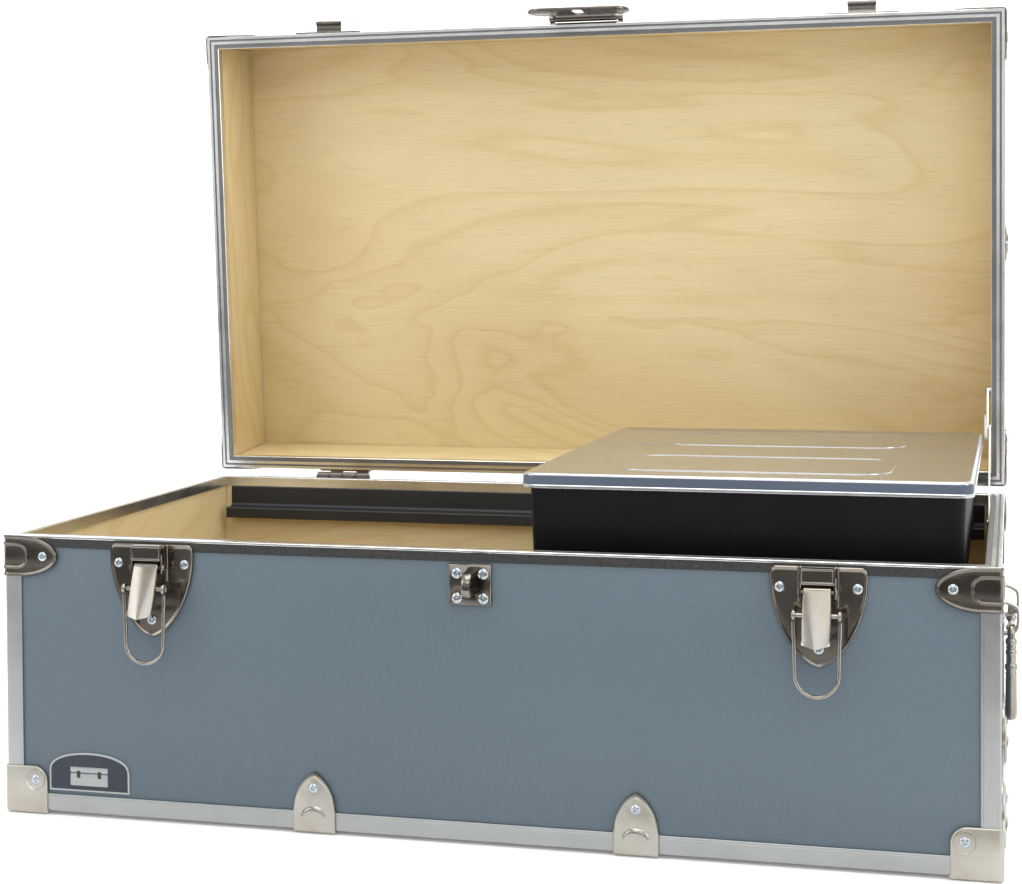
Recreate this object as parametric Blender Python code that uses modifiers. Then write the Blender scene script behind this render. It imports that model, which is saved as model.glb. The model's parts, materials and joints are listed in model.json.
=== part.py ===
"""Footlocker: a plywood trunk with metal edging, a hinged lid, two draw latches, a hasp,
side handles, a lid stay and a lift-out tray on rails.

Metres, +Z up, +X to the right and +Y to the back. Every piece is drawn with the trunk shut, its
flap, levers and bails hanging straight down, in case coordinates: x and y from the middle of the
case, z from the floor. A moving piece hangs on an empty on its joint's axis, and the empty's
rotation opens it to its rest pose.
"""

import math

import bmesh
import bpy
from mathutils import Matrix, Vector

# Case
CASE_W = 0.813
CASE_D = 0.457
CASE_H = 0.2315
LID_H = 0.1045
FOOT = 0.0027
BOARD = 0.0095
GAP = 0.0003
TRIM = 0.0012
TRIM_LEG = 0.015
RIM_LEG = 0.0095
LID_GAP = 0.002
SKIN = TRIM + GAP
RIM_Z = FOOT + CASE_H
LID_Z = RIM_Z + LID_GAP
LID_TOP = LID_Z + LID_H
INSIDE_X = CASE_W / 2 - SKIN - BOARD
INSIDE_Y = CASE_D / 2 - SKIN - BOARD

# Stampings that wrap the edges and corners
PLATE = 0.0015
EDGE_OUT = GAP + PLATE
CAP_REACH = 0.048
CAP_HALF = 0.0172
FOOT_CAP = 0.037
FOOT_CAP_ROUND = 0.0028
CLAMP_PLATE = 0.0024
CLAMP_RISE = 0.0465
CLAMP_UNDER = 0.017
CLAMP_HALF = 0.0183
CLAMP_X = 0.132
CLAMP_Y = 0.132

# Lid hinge and stay
LID_OPEN = 86.0
HINGE_OUT = 0.0064
HINGE_Y = CASE_D / 2 + HINGE_OUT
HINGE_Z = RIM_Z + LID_GAP / 2
HINGE_X = 0.270
HINGE_W = 0.057
HINGE_KNUCKLES = 4
KNUCKLE_R = 0.0042
HINGE_PIN_R = 0.0017
LEAF = 0.002
LEAF_TALL = 0.036
STAY_X = 0.3933
STAY_LINK = 0.0015
STAY_STEP = 0.0005
STAY_HALF = 0.004
STAY_FOOT = (0.180, 0.212)
STAY_HEAD = (0.257, 0.331)
STAY_ELBOW = 0.714

# Latches, padlock staple and hasp
LATCH_X = 0.2725
LATCH_W = 0.073
LATCH_TOP = FOOT + 0.228
LATCH_BOTTOM = FOOT + 0.151
LEVER_Z = FOOT + 0.210
LEVER_OUT = 0.0085
LEVER_LONG = 0.046
LEVER_HALF = 0.0108
LEVER_OPEN = 22.0
LEVER_SHUT = 12.0
BAIL_LEAN = 4.5
PIVOT_R = 0.0015
BORE_SLACK = 0.0004
BAIL_DROP = 0.018
BAIL_LONG = 0.0615
BAIL_HALF = 0.018
BAIL_WIRE = 0.0016
EYE_R = 0.0035
EYE_HALF = 0.0016
CATCH_W = 0.071
CATCH_OUT = 0.013
CATCH_LOW = 0.005
STAPLE_W = 0.0347
STAPLE_H = 0.033
STAPLE_Z = FOOT + 0.204
STAPLE_OUT = 0.0135
STAPLE_ROD = 0.0022
STAPLE_HALF = 0.0075
HASP_W = 0.075
HASP_RAISED = 8.0
HASP_Z = LID_Z + 0.006
HASP_OUT = 0.006
HASP_BARREL = 0.0035
HASP_NECK = 0.032
HASP_TAB_W = 0.102
HASP_TAB_H = 0.032
HASP_SLOT_W = 0.010
HASP_SLOT_H = 0.024
HASP_PLATE = 0.0025

# Handles
HANDLE_Z = FOOT + 0.154
HANDLE_OUT = 0.0065
HANDLE_ROD = 0.0032
HANDLE_GRIP = 0.0050
HANDLE_DROP = 0.0745
HANDLE_HALF = 0.054
HANDLE_BEND = 0.016
BRACKET_Y = 0.043
BRACKET_HALF = 0.0055

# Tray and its rails
RAIL_Z = FOOT + 0.190
RAIL_TALL = 0.032
RAIL_LEDGE = 0.011
RAIL_REACH = 0.018
RAIL_BACK = 0.003
RAIL_HALF = 0.388
TRAY_X = (0.0410, 0.3810)
TRAY_HALF = 0.2045
TRAY_TOP = FOOT + 0.2925
TRAY_DRAFT = 0.003
TRAY_WALL = 0.003
TRAY_LID_OVER = 0.005
TRAY_LID_WALL = 0.0025
TRAY_LID_SKIRT = 0.013

# The rest pose's box is centred on the origin: its front is the swung-out levers, its back is
# the top of the open lid.
FRONT_REACH = 0.25905
BACK_REACH = 0.34142
CASE_Y = (FRONT_REACH - BACK_REACH) / 2

# Names and signs of x and of y
SIDES = (("left", -1), ("right", 1))
ENDS = (("front", -1), ("back", 1))

PARTS = "footlocker"
CUTTERS = "footlocker_cutters"


# ---------------------------------------------------------------- scene and helpers
def clear_scene():
    for obj in list(bpy.data.objects):
        bpy.data.objects.remove(obj, do_unlink=True)


def collection(name):
    found = bpy.data.collections.get(name)
    if found is None:
        found = bpy.data.collections.new(name)
        bpy.context.scene.collection.children.link(found)
    return found


def material(name, colour, roughness, metallic):
    mat = bpy.data.materials.get(name)
    if mat is None:
        mat = bpy.data.materials.new(name)
        mat.use_nodes = True
        shader = mat.node_tree.nodes["Principled BSDF"]
        shader.inputs["Base Color"].default_value = (*colour, 1.0)
        shader.inputs["Roughness"].default_value = roughness
        shader.inputs["Metallic"].default_value = metallic
    return mat


def board_finish():
    return material("board", (0.16, 0.21, 0.25), 0.5, 0.0)


def trim_finish():
    return material("edge_trim", (0.75, 0.77, 0.78), 0.35, 1.0)


def nickel_finish():
    return material("nickel", (0.62, 0.60, 0.56), 0.25, 1.0)


def rail_finish():
    return material("black_plastic", (0.02, 0.02, 0.022), 0.5, 0.0)


def tray_lid_finish():
    return material("grey_plastic", (0.55, 0.56, 0.57), 0.4, 0.0)


def keep_object(name, mesh, finish, joint="trunk"):
    """Link a mesh as a named piece of the trunk, on the empty of its joint."""
    obj = bpy.data.objects.new(name, mesh)
    collection(PARTS).objects.link(obj)
    obj.data.materials.clear()
    obj.data.materials.append(finish)
    hang(obj, joint)
    return obj


def hang(obj, joint):
    empty = bpy.data.objects[joint]
    obj.parent = empty
    obj.location = -Vector(empty["pivot"])


def joint_empty(name, pivot, parent=None, axis="X", degrees=0.0):
    """An empty at a joint's pivot, given in case coordinates with the trunk shut."""
    empty = bpy.data.objects.new(name, None)
    collection(PARTS).objects.link(empty)
    empty["pivot"] = pivot
    empty.location = pivot
    if parent is not None:
        empty.parent = bpy.data.objects[parent]
        empty.location = Vector(pivot) - Vector(empty.parent["pivot"])
    setattr(empty.rotation_euler, axis.lower(), math.radians(degrees))
    return empty


def mesh_from(bm, name):
    bmesh.ops.recalc_face_normals(bm, faces=bm.faces)
    mesh = bpy.data.meshes.new(name)
    bm.to_mesh(mesh)
    bm.free()
    return mesh


def box_mesh(name, low, high):
    bm = bmesh.new()
    low, high = Vector(low), Vector(high)
    size = high - low
    place = Matrix.Translation((low + high) / 2) @ Matrix.Diagonal((*size, 1.0))
    bmesh.ops.create_cube(bm, size=1.0, matrix=place)
    return mesh_from(bm, name)


def rod_mesh(name, start, end, radius, segments=20):
    """A cylinder from start to end."""
    bm = bmesh.new()
    start, end = Vector(start), Vector(end)
    along = end - start
    turn = along.to_track_quat("Z", "Y").to_matrix().to_4x4()
    bmesh.ops.create_cone(
        bm, cap_ends=True, segments=segments, radius1=radius, radius2=radius,
        depth=along.length, matrix=Matrix.Translation((start + end) / 2) @ turn,
    )
    return mesh_from(bm, name)


def curve_mesh(name, points, radius=0.0, sides=2, thickness=0.0, holes=()):
    """The closed mesh of a round wire through points, or of a flat outline with holes."""
    curve = bpy.data.curves.new(name, "CURVE")
    flat = thickness > 0
    curve.dimensions = "2D" if flat else "3D"
    for outline in (points, *holes):
        spline = curve.splines.new("POLY")
        spline.points.add(len(outline) - 1)
        for point, place in zip(spline.points, outline):
            point.co = (*place, 0.0, 1.0) if len(place) == 2 else (*place, 1.0)
        spline.use_cyclic_u = flat
    if flat:
        curve.fill_mode = "BOTH"
        curve.extrude = thickness / 2
    else:
        curve.bevel_depth = radius
        curve.bevel_resolution = sides
        curve.use_fill_caps = True
    guide = bpy.data.objects.new(name, curve)
    bpy.context.scene.collection.objects.link(guide)
    depsgraph = bpy.context.evaluated_depsgraph_get()
    mesh = bpy.data.meshes.new_from_object(guide.evaluated_get(depsgraph))
    bpy.data.objects.remove(guide, do_unlink=True)
    bpy.data.curves.remove(curve)
    bm = bmesh.new()
    bm.from_mesh(mesh)
    bpy.data.meshes.remove(mesh)
    bmesh.ops.remove_doubles(bm, verts=bm.verts, dist=1e-6)
    return mesh_from(bm, name)


def cutter(name, mesh):
    obj = bpy.data.objects.new("cut_" + name, mesh)
    collection(CUTTERS).objects.link(obj)
    obj.hide_render = True
    obj.display_type = "WIRE"
    return obj


def boolean(obj, name, mesh, operation="DIFFERENCE"):
    """Cut a mesh in case coordinates from a piece, or join it to the piece."""
    tool = cutter(name, mesh)
    tool.parent = obj.parent
    tool.location = obj.location
    change = obj.modifiers.new(name, "BOOLEAN")
    change.operation = operation
    change.solver = "EXACT"
    change.object = tool


def arc(centre, radius, start, end, steps):
    """Points on an arc in a plane, with both ends, angles in degrees."""
    angles = [math.radians(start + (end - start) * n / steps) for n in range(steps + 1)]
    return [(centre[0] + radius * math.cos(a), centre[1] + radius * math.sin(a)) for a in angles]


def stadium(width, height, centre=(0.0, 0.0), steps=8):
    """A slot's outline: a rectangle with round ends, wider than it is high."""
    reach, r = width / 2 - height / 2, height / 2
    right = arc((centre[0] + reach, centre[1]), r, -90, 90, steps)
    return right + arc((centre[0] - reach, centre[1]), r, 90, 270, steps)


def face_plate(name, outline, front, back, holes=()):
    """A flat outline in x and z, from y = front to y = back."""
    mesh = curve_mesh(name, outline, thickness=back - front, holes=holes)
    stand = Matrix.Rotation(math.radians(90), 4, "X")
    mesh.transform(Matrix.Translation((0, (front + back) / 2, 0)) @ stand)
    return mesh


def folded_leaf(name, reach_a, reach_b, half, corner=0.0003, rows=7):
    """A leaf-shaped strip folded square round an edge, its inner faces on x = 0 and y = 0.

    It covers +x on the face y = 0 and +y on the face x = 0, its plate lies on the outer side,
    and z runs across it.
    """
    bend = 2
    count = rows * 2 + bend
    bm = bmesh.new()
    bmesh.ops.create_grid(bm, x_segments=count, y_segments=2, size=1.0)
    for vert in bm.verts:
        step = round((vert.co.x + 1) / 2 * count)
        side = round(vert.co.y)
        if step < rows:
            share = 1 - step / rows
            flat, place = share, Vector((corner + (reach_a - corner) * share, 0, 0))
        elif step <= rows + bend:
            turn = math.radians(90) * (step - rows) / bend
            flat = 0.0
            place = Vector((corner - corner * math.sin(turn), corner - corner * math.cos(turn), 0))
        else:
            share = (step - rows - bend) / rows
            flat, place = share, Vector((0, corner + (reach_b - corner) * share, 0))
        taper = max(flat - 0.25, 0.0) / 0.75
        width = half * math.sqrt(1 - (taper * 0.985) ** 2)
        vert.co = place + Vector((0, 0, side * width))
    return mesh_from(bm, name)


def solid_leaf(name, mesh, finish, matrix, plate=PLATE):
    """Place a folded leaf and give it its plate thickness on the outer side."""
    obj = keep_object(name, mesh, finish)
    obj.location = matrix.to_translation()
    obj.rotation_euler = matrix.to_euler()
    thick = obj.modifiers.new("plate", "SOLIDIFY")
    thick.thickness = plate
    thick.offset = 1.0 if leaf_faces_out(mesh) else -1.0
    thick.use_even_offset = True
    return obj


def leaf_faces_out(mesh):
    """Whether the faces on y = 0 look towards -y, away from the edge that the leaf wraps."""
    flat = [p for p in mesh.polygons if abs(p.center.y) < 1e-6]
    return flat[0].normal.y < 0


# ---------------------------------------------------------------- joints' empties
def make_joints():
    joint_empty("trunk", (0.0, 0.0, 0.0))
    bpy.data.objects["trunk"].location.y = CASE_Y
    joint_empty("lid", (0.0, HINGE_Y, HINGE_Z), "trunk", degrees=-LID_OPEN)
    joint_empty("hasp", (0.0, -CASE_D / 2 - HASP_OUT, HASP_Z), "lid", degrees=-HASP_RAISED)
    for side, sign in SIDES:
        lever = (sign * LATCH_X, -CASE_D / 2 - LEVER_OUT, LEVER_Z)
        joint_empty("lever_" + side, lever, "trunk", degrees=-LEVER_OPEN)
        pin = (lever[0], lever[1], lever[2] - BAIL_DROP)
        joint_empty("bail_" + side, pin, "lever_" + side, degrees=LEVER_OPEN)
        joint_empty("handle_" + side, (sign * (CASE_W / 2 + HANDLE_OUT), 0.0, HANDLE_Z), "trunk")
    joint_empty("tray", (TRAY_X[0], 0.0, RAIL_Z + RAIL_LEDGE), "trunk")
    joint_empty("cover", (TRAY_X[0], 0.0, TRAY_TOP), "tray")
    joint_empty("stay_foot", (STAY_X, *STAY_FOOT), "trunk")
    joint_empty("stay_head", (STAY_X, *shut_in_lid(STAY_HEAD)), "lid")


def shut_in_lid(place):
    """Where a point (y, z) of the open lid lies when the lid is shut."""
    turn = math.radians(LID_OPEN)
    y, z = place[0] - HINGE_Y, place[1] - HINGE_Z
    return (
        HINGE_Y + y * math.cos(turn) - z * math.sin(turn),
        HINGE_Z + y * math.sin(turn) + z * math.cos(turn),
    )


# ---------------------------------------------------------------- boards and edging
def make_boards(prefix, joint, low, high, flat_low, flat_high):
    """Front, back, left and right boards from low to high, and the flat one."""
    finish = board_finish()
    x, y = CASE_W / 2 - SKIN, CASE_D / 2 - SKIN
    walls = {
        "front": ((-x, -y, low), (x, -y + BOARD, high)),
        "back": ((-x, y - BOARD, low), (x, y, high)),
        "left": ((-x, -y + BOARD + GAP, low), (-x + BOARD, y - BOARD - GAP, high)),
        "right": ((x - BOARD, -y + BOARD + GAP, low), (x, y - BOARD - GAP, high)),
    }
    for name, (a, b) in walls.items():
        board = f"{prefix}_{name}_board"
        keep_object(board, box_mesh(board, a, b), finish, joint)
    flat = f"{prefix}_{'floor' if prefix == 'base' else 'top'}_board"
    keep_object(flat, box_mesh(flat, (-x, -y, flat_low), (x, y, flat_high)), finish, joint)


def make_case_boards():
    flat_low = FOOT + SKIN
    make_boards("base", "trunk", flat_low + BOARD + GAP, RIM_Z - SKIN, flat_low, flat_low + BOARD)
    flat_high = LID_TOP - SKIN
    make_boards("lid", "lid", LID_Z + SKIN, flat_high - BOARD - GAP, flat_high - BOARD, flat_high)


def ring_box(name, inset, low, high):
    x, y = CASE_W / 2 - inset, CASE_D / 2 - inset
    return box_mesh(name, (-x, -y, low), (x, y, high))


def make_rim(name, joint, rim, inward):
    """A U-shaped channel over the tops of the four walls, its flanges running inward."""
    far = rim + inward * RIM_LEG
    web = rim + inward * TRIM
    low, high = min(rim, far), max(rim, far)
    obj = keep_object(name, ring_box(name, 0.0, low, high), trim_finish(), joint)
    slot = SKIN + BOARD + GAP
    beyond = far + inward * 0.002
    boolean(obj, name + "_mouth", ring_box("mouth", slot + TRIM, rim - inward * 0.002, beyond))
    groove = cutter(name + "_groove", ring_box("groove", TRIM, min(web, beyond), max(web, beyond)))
    hole = cutter(name + "_core", ring_box("core", slot, web - inward * 0.001, beyond + inward))
    for tool in (groove, hole):
        tool.parent, tool.location = obj.parent, obj.location
    core = groove.modifiers.new("core", "BOOLEAN")
    core.operation, core.solver, core.object = "DIFFERENCE", "EXACT", hole
    cut = obj.modifiers.new("groove", "BOOLEAN")
    cut.operation, cut.solver, cut.object = "DIFFERENCE", "EXACT", groove


def make_edging(name, joint, closed, open_end):
    """Angle trims along the closed end's four edges and up the four corners, as one frame."""
    inward = 1 if open_end > closed else -1
    low, high = min(closed, open_end), max(closed, open_end)
    obj = keep_object(name, ring_box(name, 0.0, low, high), trim_finish(), joint)
    past = 0.002
    floor = closed + inward * TRIM
    ledge = closed + inward * TRIM_LEG
    beyond = open_end + inward * past
    x, y = CASE_W / 2, CASE_D / 2
    leg = TRIM_LEG
    inner = ring_box("inner", TRIM, min(floor, beyond), max(floor, beyond))
    boolean(obj, name + "_inner", inner)
    before = closed - inward * past
    window = ring_box("window", leg, min(before, beyond), max(before, beyond))
    boolean(obj, name + "_flat", window)
    a, b = min(ledge, beyond), max(ledge, beyond)
    boolean(obj, name + "_ends", box_mesh("ends", (-x - past, -y + leg, a), (x + past, y - leg, b)))
    boolean(obj, name + "_faces", box_mesh("face", (-x + leg, -y - past, a), (x - leg, y + past, b)))


def make_case_edging():
    make_rim("base_rim_channel", "trunk", RIM_Z, -1)
    make_rim("lid_rim_channel", "lid", LID_Z, 1)
    make_edging("base_edge_trim", "trunk", FOOT, RIM_Z - RIM_LEG - GAP)
    make_edging("lid_edge_trim", "lid", LID_TOP, LID_Z + RIM_LEG + GAP)


# ---------------------------------------------------------------- corner caps and clamps
def corners():
    """The case's corners as (name, sign of x, sign of y, quarter turns from front left)."""
    return (
        ("front_left", -1, -1, 0), ("front_right", 1, -1, 1),
        ("back_right", 1, 1, 2), ("back_left", -1, 1, 3),
    )


def make_rim_caps():
    """Leaf-shaped caps that wrap the base's upright corners just under its rim."""
    mesh = folded_leaf("rim_cap", CAP_REACH, CAP_REACH, CAP_HALF)
    for name, sx, sy, turns in corners():
        x, y = sx * (CASE_W / 2 + GAP), sy * (CASE_D / 2 + GAP)
        place = Matrix.Translation((x, y, RIM_Z - CAP_HALF))
        turn = Matrix.Rotation(math.radians(90 * turns), 4, "Z")
        solid_leaf("base_rim_cap_" + name, mesh.copy(), nickel_finish(), place @ turn)


def three_way_cap(name, joint, matrix, finish):
    """A rounded cube's corner, open inside, on the corner at its own origin."""
    out = EDGE_OUT
    bm = bmesh.new()
    size = FOOT_CAP + out
    middle = size / 2 - out
    bmesh.ops.create_cube(bm, size=size, matrix=Matrix.Translation((middle, middle, middle)))
    outer = [e for e in bm.edges if sum(abs(c + out) < 1e-6 for c in mid_point(e)) == 2]
    bmesh.ops.bevel(bm, geom=outer, offset=FOOT_CAP_ROUND, segments=4, profile=0.5,
                    affect="EDGES", clamp_overlap=True)
    mesh = mesh_from(bm, name)
    mesh.transform(matrix)
    obj = keep_object(name, mesh, finish, joint)
    reach = FOOT_CAP + 0.005
    inner = box_mesh("inside", (-GAP,) * 3, (reach,) * 3)
    inner.transform(matrix)
    boolean(obj, name + "_inside", inner)
    return obj


def mid_point(edge):
    return (edge.verts[0].co + edge.verts[1].co) / 2


def make_three_way_caps():
    """Rounded caps on the base's four bottom corners and the lid's four top corners."""
    for name, sx, sy, turns in corners():
        turn = Matrix.Rotation(math.radians(90 * turns), 4, "Z")
        foot = Matrix.Translation((sx * CASE_W / 2, sy * CASE_D / 2, FOOT)) @ turn
        three_way_cap("base_foot_cap_" + name, "trunk", foot, nickel_finish())
        flip = Matrix.Rotation(math.radians(180), 4, Vector((1, 1, 0)))
        top = Matrix.Translation((sx * CASE_W / 2, sy * CASE_D / 2, LID_TOP)) @ turn @ flip
        three_way_cap("lid_top_cap_" + name, "lid", top, nickel_finish())


def make_clamps():
    """Leaf-shaped clamps round the bottom edges, two a side; the trunk stands on them."""
    mesh = folded_leaf("edge_clamp", CLAMP_RISE, CLAMP_UNDER, CLAMP_HALF)
    spots = [(f"front_{s}", n * CLAMP_X, 0) for s, n in SIDES]
    spots += [(f"right_{e}", n * CLAMP_Y, 1) for e, n in ENDS]
    spots += [(f"back_{s}", -n * CLAMP_X, 2) for s, n in SIDES]
    spots += [(f"left_{e}", -n * CLAMP_Y, 3) for e, n in ENDS]
    # The leaf's +x arm turns up the wall and its +y arm goes under the floor.
    stand = Matrix(((0, 0, -1, 0), (0, 1, 0, 0), (1, 0, 0, 0), (0, 0, 0, 1)))
    for name, along, turns in spots:
        turn = Matrix.Rotation(math.radians(90 * turns), 4, "Z")
        depth = (CASE_W if turns % 2 else CASE_D) / 2 + GAP
        drop = Matrix.Translation((along, -depth, FOOT - GAP))
        solid_leaf("edge_clamp_" + name, mesh.copy(), nickel_finish(), turn @ drop @ stand,
                   CLAMP_PLATE)


# ---------------------------------------------------------------- draw latches
def side_block(name, profile, low, high):
    """A profile in y and z, run along x from low to high."""
    mesh = curve_mesh(name, profile, thickness=high - low)
    turn = Matrix(((0, 0, 1, (low + high) / 2), (1, 0, 0, 0), (0, 1, 0, 0), (0, 0, 0, 1)))
    mesh.transform(turn)
    return mesh


def shield(width, top, bottom, shoulder, steps=14):
    """A shield's outline: straight shoulders over half an ellipse."""
    half, tall = width / 2, shoulder - bottom
    angles = [math.radians(180 + 180 * n / steps) for n in range(steps + 1)]
    curve = [(half * math.cos(a), shoulder + tall * math.sin(a)) for a in angles]
    return [(half, top), (-half, top)] + curve


def shifted(outline, x):
    return [(a + x, b) for a, b in outline]


def make_latch_plate(side, x):
    """The shield-shaped plate, its hood and the two ears that hold the lever's pin."""
    name = "latch_plate_" + side
    face, panel = -CASE_D / 2 - EDGE_OUT, -CASE_D / 2 + SKIN - GAP
    outline = shifted(shield(LATCH_W, LATCH_TOP, LATCH_BOTTOM, LATCH_TOP - 0.016), x)
    obj = keep_object(name, face_plate(name, outline, face, panel), nickel_finish())
    past = 0.001
    notch_low, notch_high = RIM_Z - RIM_LEG - GAP, LATCH_TOP + past
    notch = box_mesh("notch", (x - LATCH_W, -CASE_D / 2 - GAP, notch_low),
                     (x + LATCH_W, panel + past, notch_high))
    boolean(obj, "over_rim", notch)
    pivot_y, front = -CASE_D / 2 - LEVER_OUT, -CASE_D / 2 - LEVER_OUT - 0.0017
    ear_in, ear_out, ear_r = LEVER_HALF + 0.0014, LEVER_HALF + 0.0034, 0.0050
    back = face + 0.0005
    ear = arc((pivot_y, LEVER_Z), ear_r, 180, 270, 5)
    ear += [(back, LEVER_Z - ear_r), (back, LATCH_TOP - 0.001), (pivot_y - ear_r, LATCH_TOP - 0.001)]
    for sign, end in ((-1, "a"), (1, "b")):
        low, high = sorted((x + sign * ear_in, x + sign * ear_out))
        boolean(obj, "ear_" + end, side_block("ear", ear, low, high), "UNION")
    hood_low = LEVER_Z + 0.0056
    hood = box_mesh("hood", (x - ear_in - past, front, hood_low),
                    (x + ear_in + past, back, LATCH_TOP - 0.001))
    boolean(obj, "hood", hood, "UNION")
    pin = rod_mesh("pin", (x - ear_out + past, pivot_y, LEVER_Z),
                   (x + ear_out - past, pivot_y, LEVER_Z), PIVOT_R)
    boolean(obj, "pin", pin, "UNION")


def make_latch_lever(side, x):
    """The pull lever on its bore, with the cross pin that carries the bail."""
    name, joint = "latch_lever_" + side, "lever_" + side
    y, top = -CASE_D / 2 - LEVER_OUT, 0.0040
    profile = arc((y, LEVER_Z), top, 0, 180, 8)
    profile += [(y - 0.0062, LEVER_Z - 0.012), (y - 0.0066, LEVER_Z - 0.034)]
    profile += [(y - 0.0052, LEVER_Z - LEVER_LONG), (y - 0.0036, LEVER_Z - LEVER_LONG)]
    profile += [(y + 0.0030, LEVER_Z - 0.034)]
    mesh = side_block(name, profile, x - LEVER_HALF, x + LEVER_HALF)
    obj = keep_object(name, mesh, nickel_finish(), joint)
    wide = LEVER_HALF + 0.002
    bore = rod_mesh("bore", (x - wide, y, LEVER_Z), (x + wide, y, LEVER_Z), PIVOT_R + BORE_SLACK)
    boolean(obj, "bore", bore)
    reach, pin_z = BAIL_HALF + EYE_HALF + 0.0012, LEVER_Z - BAIL_DROP
    boolean(obj, "cross_pin", rod_mesh("pin", (x - reach, y, pin_z), (x + reach, y, pin_z), PIVOT_R),
            "UNION")
    for sign in (-1, 1):
        head = rod_mesh("head", (x + sign * (reach - 0.0008), y, pin_z),
                        (x + sign * (reach + 0.0006), y, pin_z), PIVOT_R + 0.0012)
        boolean(obj, "head_" + ("a" if sign < 0 else "b"), head, "UNION")


def make_latch_bail(side, x):
    """The wire loop that hooks over the lid's catch, an eye at each end on the cross pin."""
    name, joint = "latch_bail_" + side, "bail_" + side
    y, top = -CASE_D / 2 - LEVER_OUT, LEVER_Z - BAIL_DROP
    start = top - EYE_R + 0.0008
    middle = top - BAIL_LONG + BAIL_HALF
    route = [(x - BAIL_HALF, y, start)]
    route += [(a, y, b) for a, b in arc((x, middle), BAIL_HALF, 180, 360, 12)]
    route += [(x + BAIL_HALF, y, start)]
    obj = keep_object(name, curve_mesh(name, route, BAIL_WIRE), nickel_finish(), joint)
    for sign in (-1, 1):
        centre = x + sign * BAIL_HALF
        eye = rod_mesh("eye", (centre - EYE_HALF, y, top), (centre + EYE_HALF, y, top), EYE_R)
        boolean(obj, "eye_" + ("a" if sign < 0 else "b"), eye, "UNION")
    wide = BAIL_HALF + 0.004
    bore = rod_mesh("bore", (x - wide, y, top), (x + wide, y, top), PIVOT_R + BORE_SLACK)
    boolean(obj, "bore", bore)


def make_lid_catch(side, x):
    """The lid's catch: a flange on the front board and a half-round block for the bail."""
    name = "lid_catch_" + side
    face, panel = -CASE_D / 2 - EDGE_OUT, -CASE_D / 2 + SKIN - GAP
    low, high = LID_Z + 0.0015, LID_Z + 0.030
    half = CATCH_W / 2
    outline = [(x - half, low), (x + half, low), (x + half - 0.008, high), (x - half + 0.008, high)]
    obj = keep_object(name, face_plate(name, outline, face, panel), nickel_finish(), "lid")
    past = 0.001
    notch = box_mesh("notch", (x - CATCH_W, -CASE_D / 2 - GAP, low - past),
                     (x + CATCH_W, panel + past, LID_Z + RIM_LEG + GAP))
    boolean(obj, "over_rim", notch)
    pin_z = LEVER_Z - BAIL_DROP * math.cos(math.radians(LEVER_SHUT))
    hoop = pin_z + (BAIL_LONG - BAIL_HALF) * math.cos(math.radians(BAIL_LEAN))
    radius = BAIL_HALF - BAIL_WIRE - 2 * GAP
    base = LID_Z + CATCH_LOW
    start = math.degrees(math.asin((base - hoop) / radius))
    block = arc((x, hoop), radius, start, 180 - start, 12)
    boolean(obj, "block", face_plate("block", block, face - CATCH_OUT + PLATE, face + past / 2),
            "UNION")


def make_latches():
    for side, sign in SIDES:
        x = sign * LATCH_X
        make_latch_plate(side, x)
        make_latch_lever(side, x)
        make_latch_bail(side, x)
        make_lid_catch(side, x)


# ---------------------------------------------------------------- padlock staple and hasp
def make_staple():
    """The square plate with a bent loop for the padlock."""
    face, panel = -CASE_D / 2 - EDGE_OUT, -CASE_D / 2 + SKIN - GAP
    half_w, half_h = STAPLE_W / 2, STAPLE_H / 2
    low, high = STAPLE_Z - half_h, min(STAPLE_Z + half_h, RIM_Z - RIM_LEG - GAP)
    outline = [(-half_w, low), (half_w, low), (half_w, high), (-half_w, high)]
    name = "padlock_staple"
    obj = keep_object(name, face_plate(name, outline, face, panel), nickel_finish())
    reach = STAPLE_OUT - STAPLE_ROD
    route = []
    for out, up in ((-0.0008, 1.2), (0.45, 1.12), (0.8, 0.95), (1.0, 0.6)):
        depth = reach * out if out > 0 else out
        route.append((0.0, face - depth, STAPLE_Z + STAPLE_HALF * up))
    route += [(x, y, 2 * STAPLE_Z - z) for x, y, z in reversed(route)]
    boolean(obj, "loop", curve_mesh("loop", route, STAPLE_ROD), "UNION")


def make_hasp():
    """The hasp's base on the lid and its swinging flap with a slot for the staple."""
    face, panel = -CASE_D / 2 - EDGE_OUT, -CASE_D / 2 + SKIN - GAP
    y = -CASE_D / 2 - HASP_OUT
    half = HASP_W / 2
    low, high = LID_Z + 0.0015, LID_Z + 0.034
    base = "hasp_base"
    outline = [(-half, low), (half, low), (half, high), (-half, high)]
    obj = keep_object(base, face_plate(base, outline, face, panel), nickel_finish(), "lid")
    past = 0.001
    notch = box_mesh("notch", (-HASP_W, -CASE_D / 2 - GAP, low - past),
                     (HASP_W, panel + past, LID_Z + RIM_LEG + GAP))
    boolean(obj, "over_rim", notch)
    for sign in (-1, 1):
        inner, outer = sign * HASP_NECK, sign * half
        a, b = sorted((inner + sign * GAP, outer))
        knuckle = box_mesh("knuckle", (a, y, HASP_Z - HASP_BARREL + 0.0005),
                           (b, face + past / 2, HASP_Z + HASP_BARREL - 0.0005))
        barrel = rod_mesh("barrel", (a, y, HASP_Z), (b, y, HASP_Z), HASP_BARREL)
        end = "a" if sign < 0 else "b"
        boolean(obj, "knuckle_" + end, knuckle, "UNION")
        boolean(obj, "barrel_" + end, barrel, "UNION")
    pin = rod_mesh("pin", (-half + past, y, HASP_Z), (half - past, y, HASP_Z), PIVOT_R)
    boolean(obj, "pin", pin, "UNION")
    make_hasp_flap(y)


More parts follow.
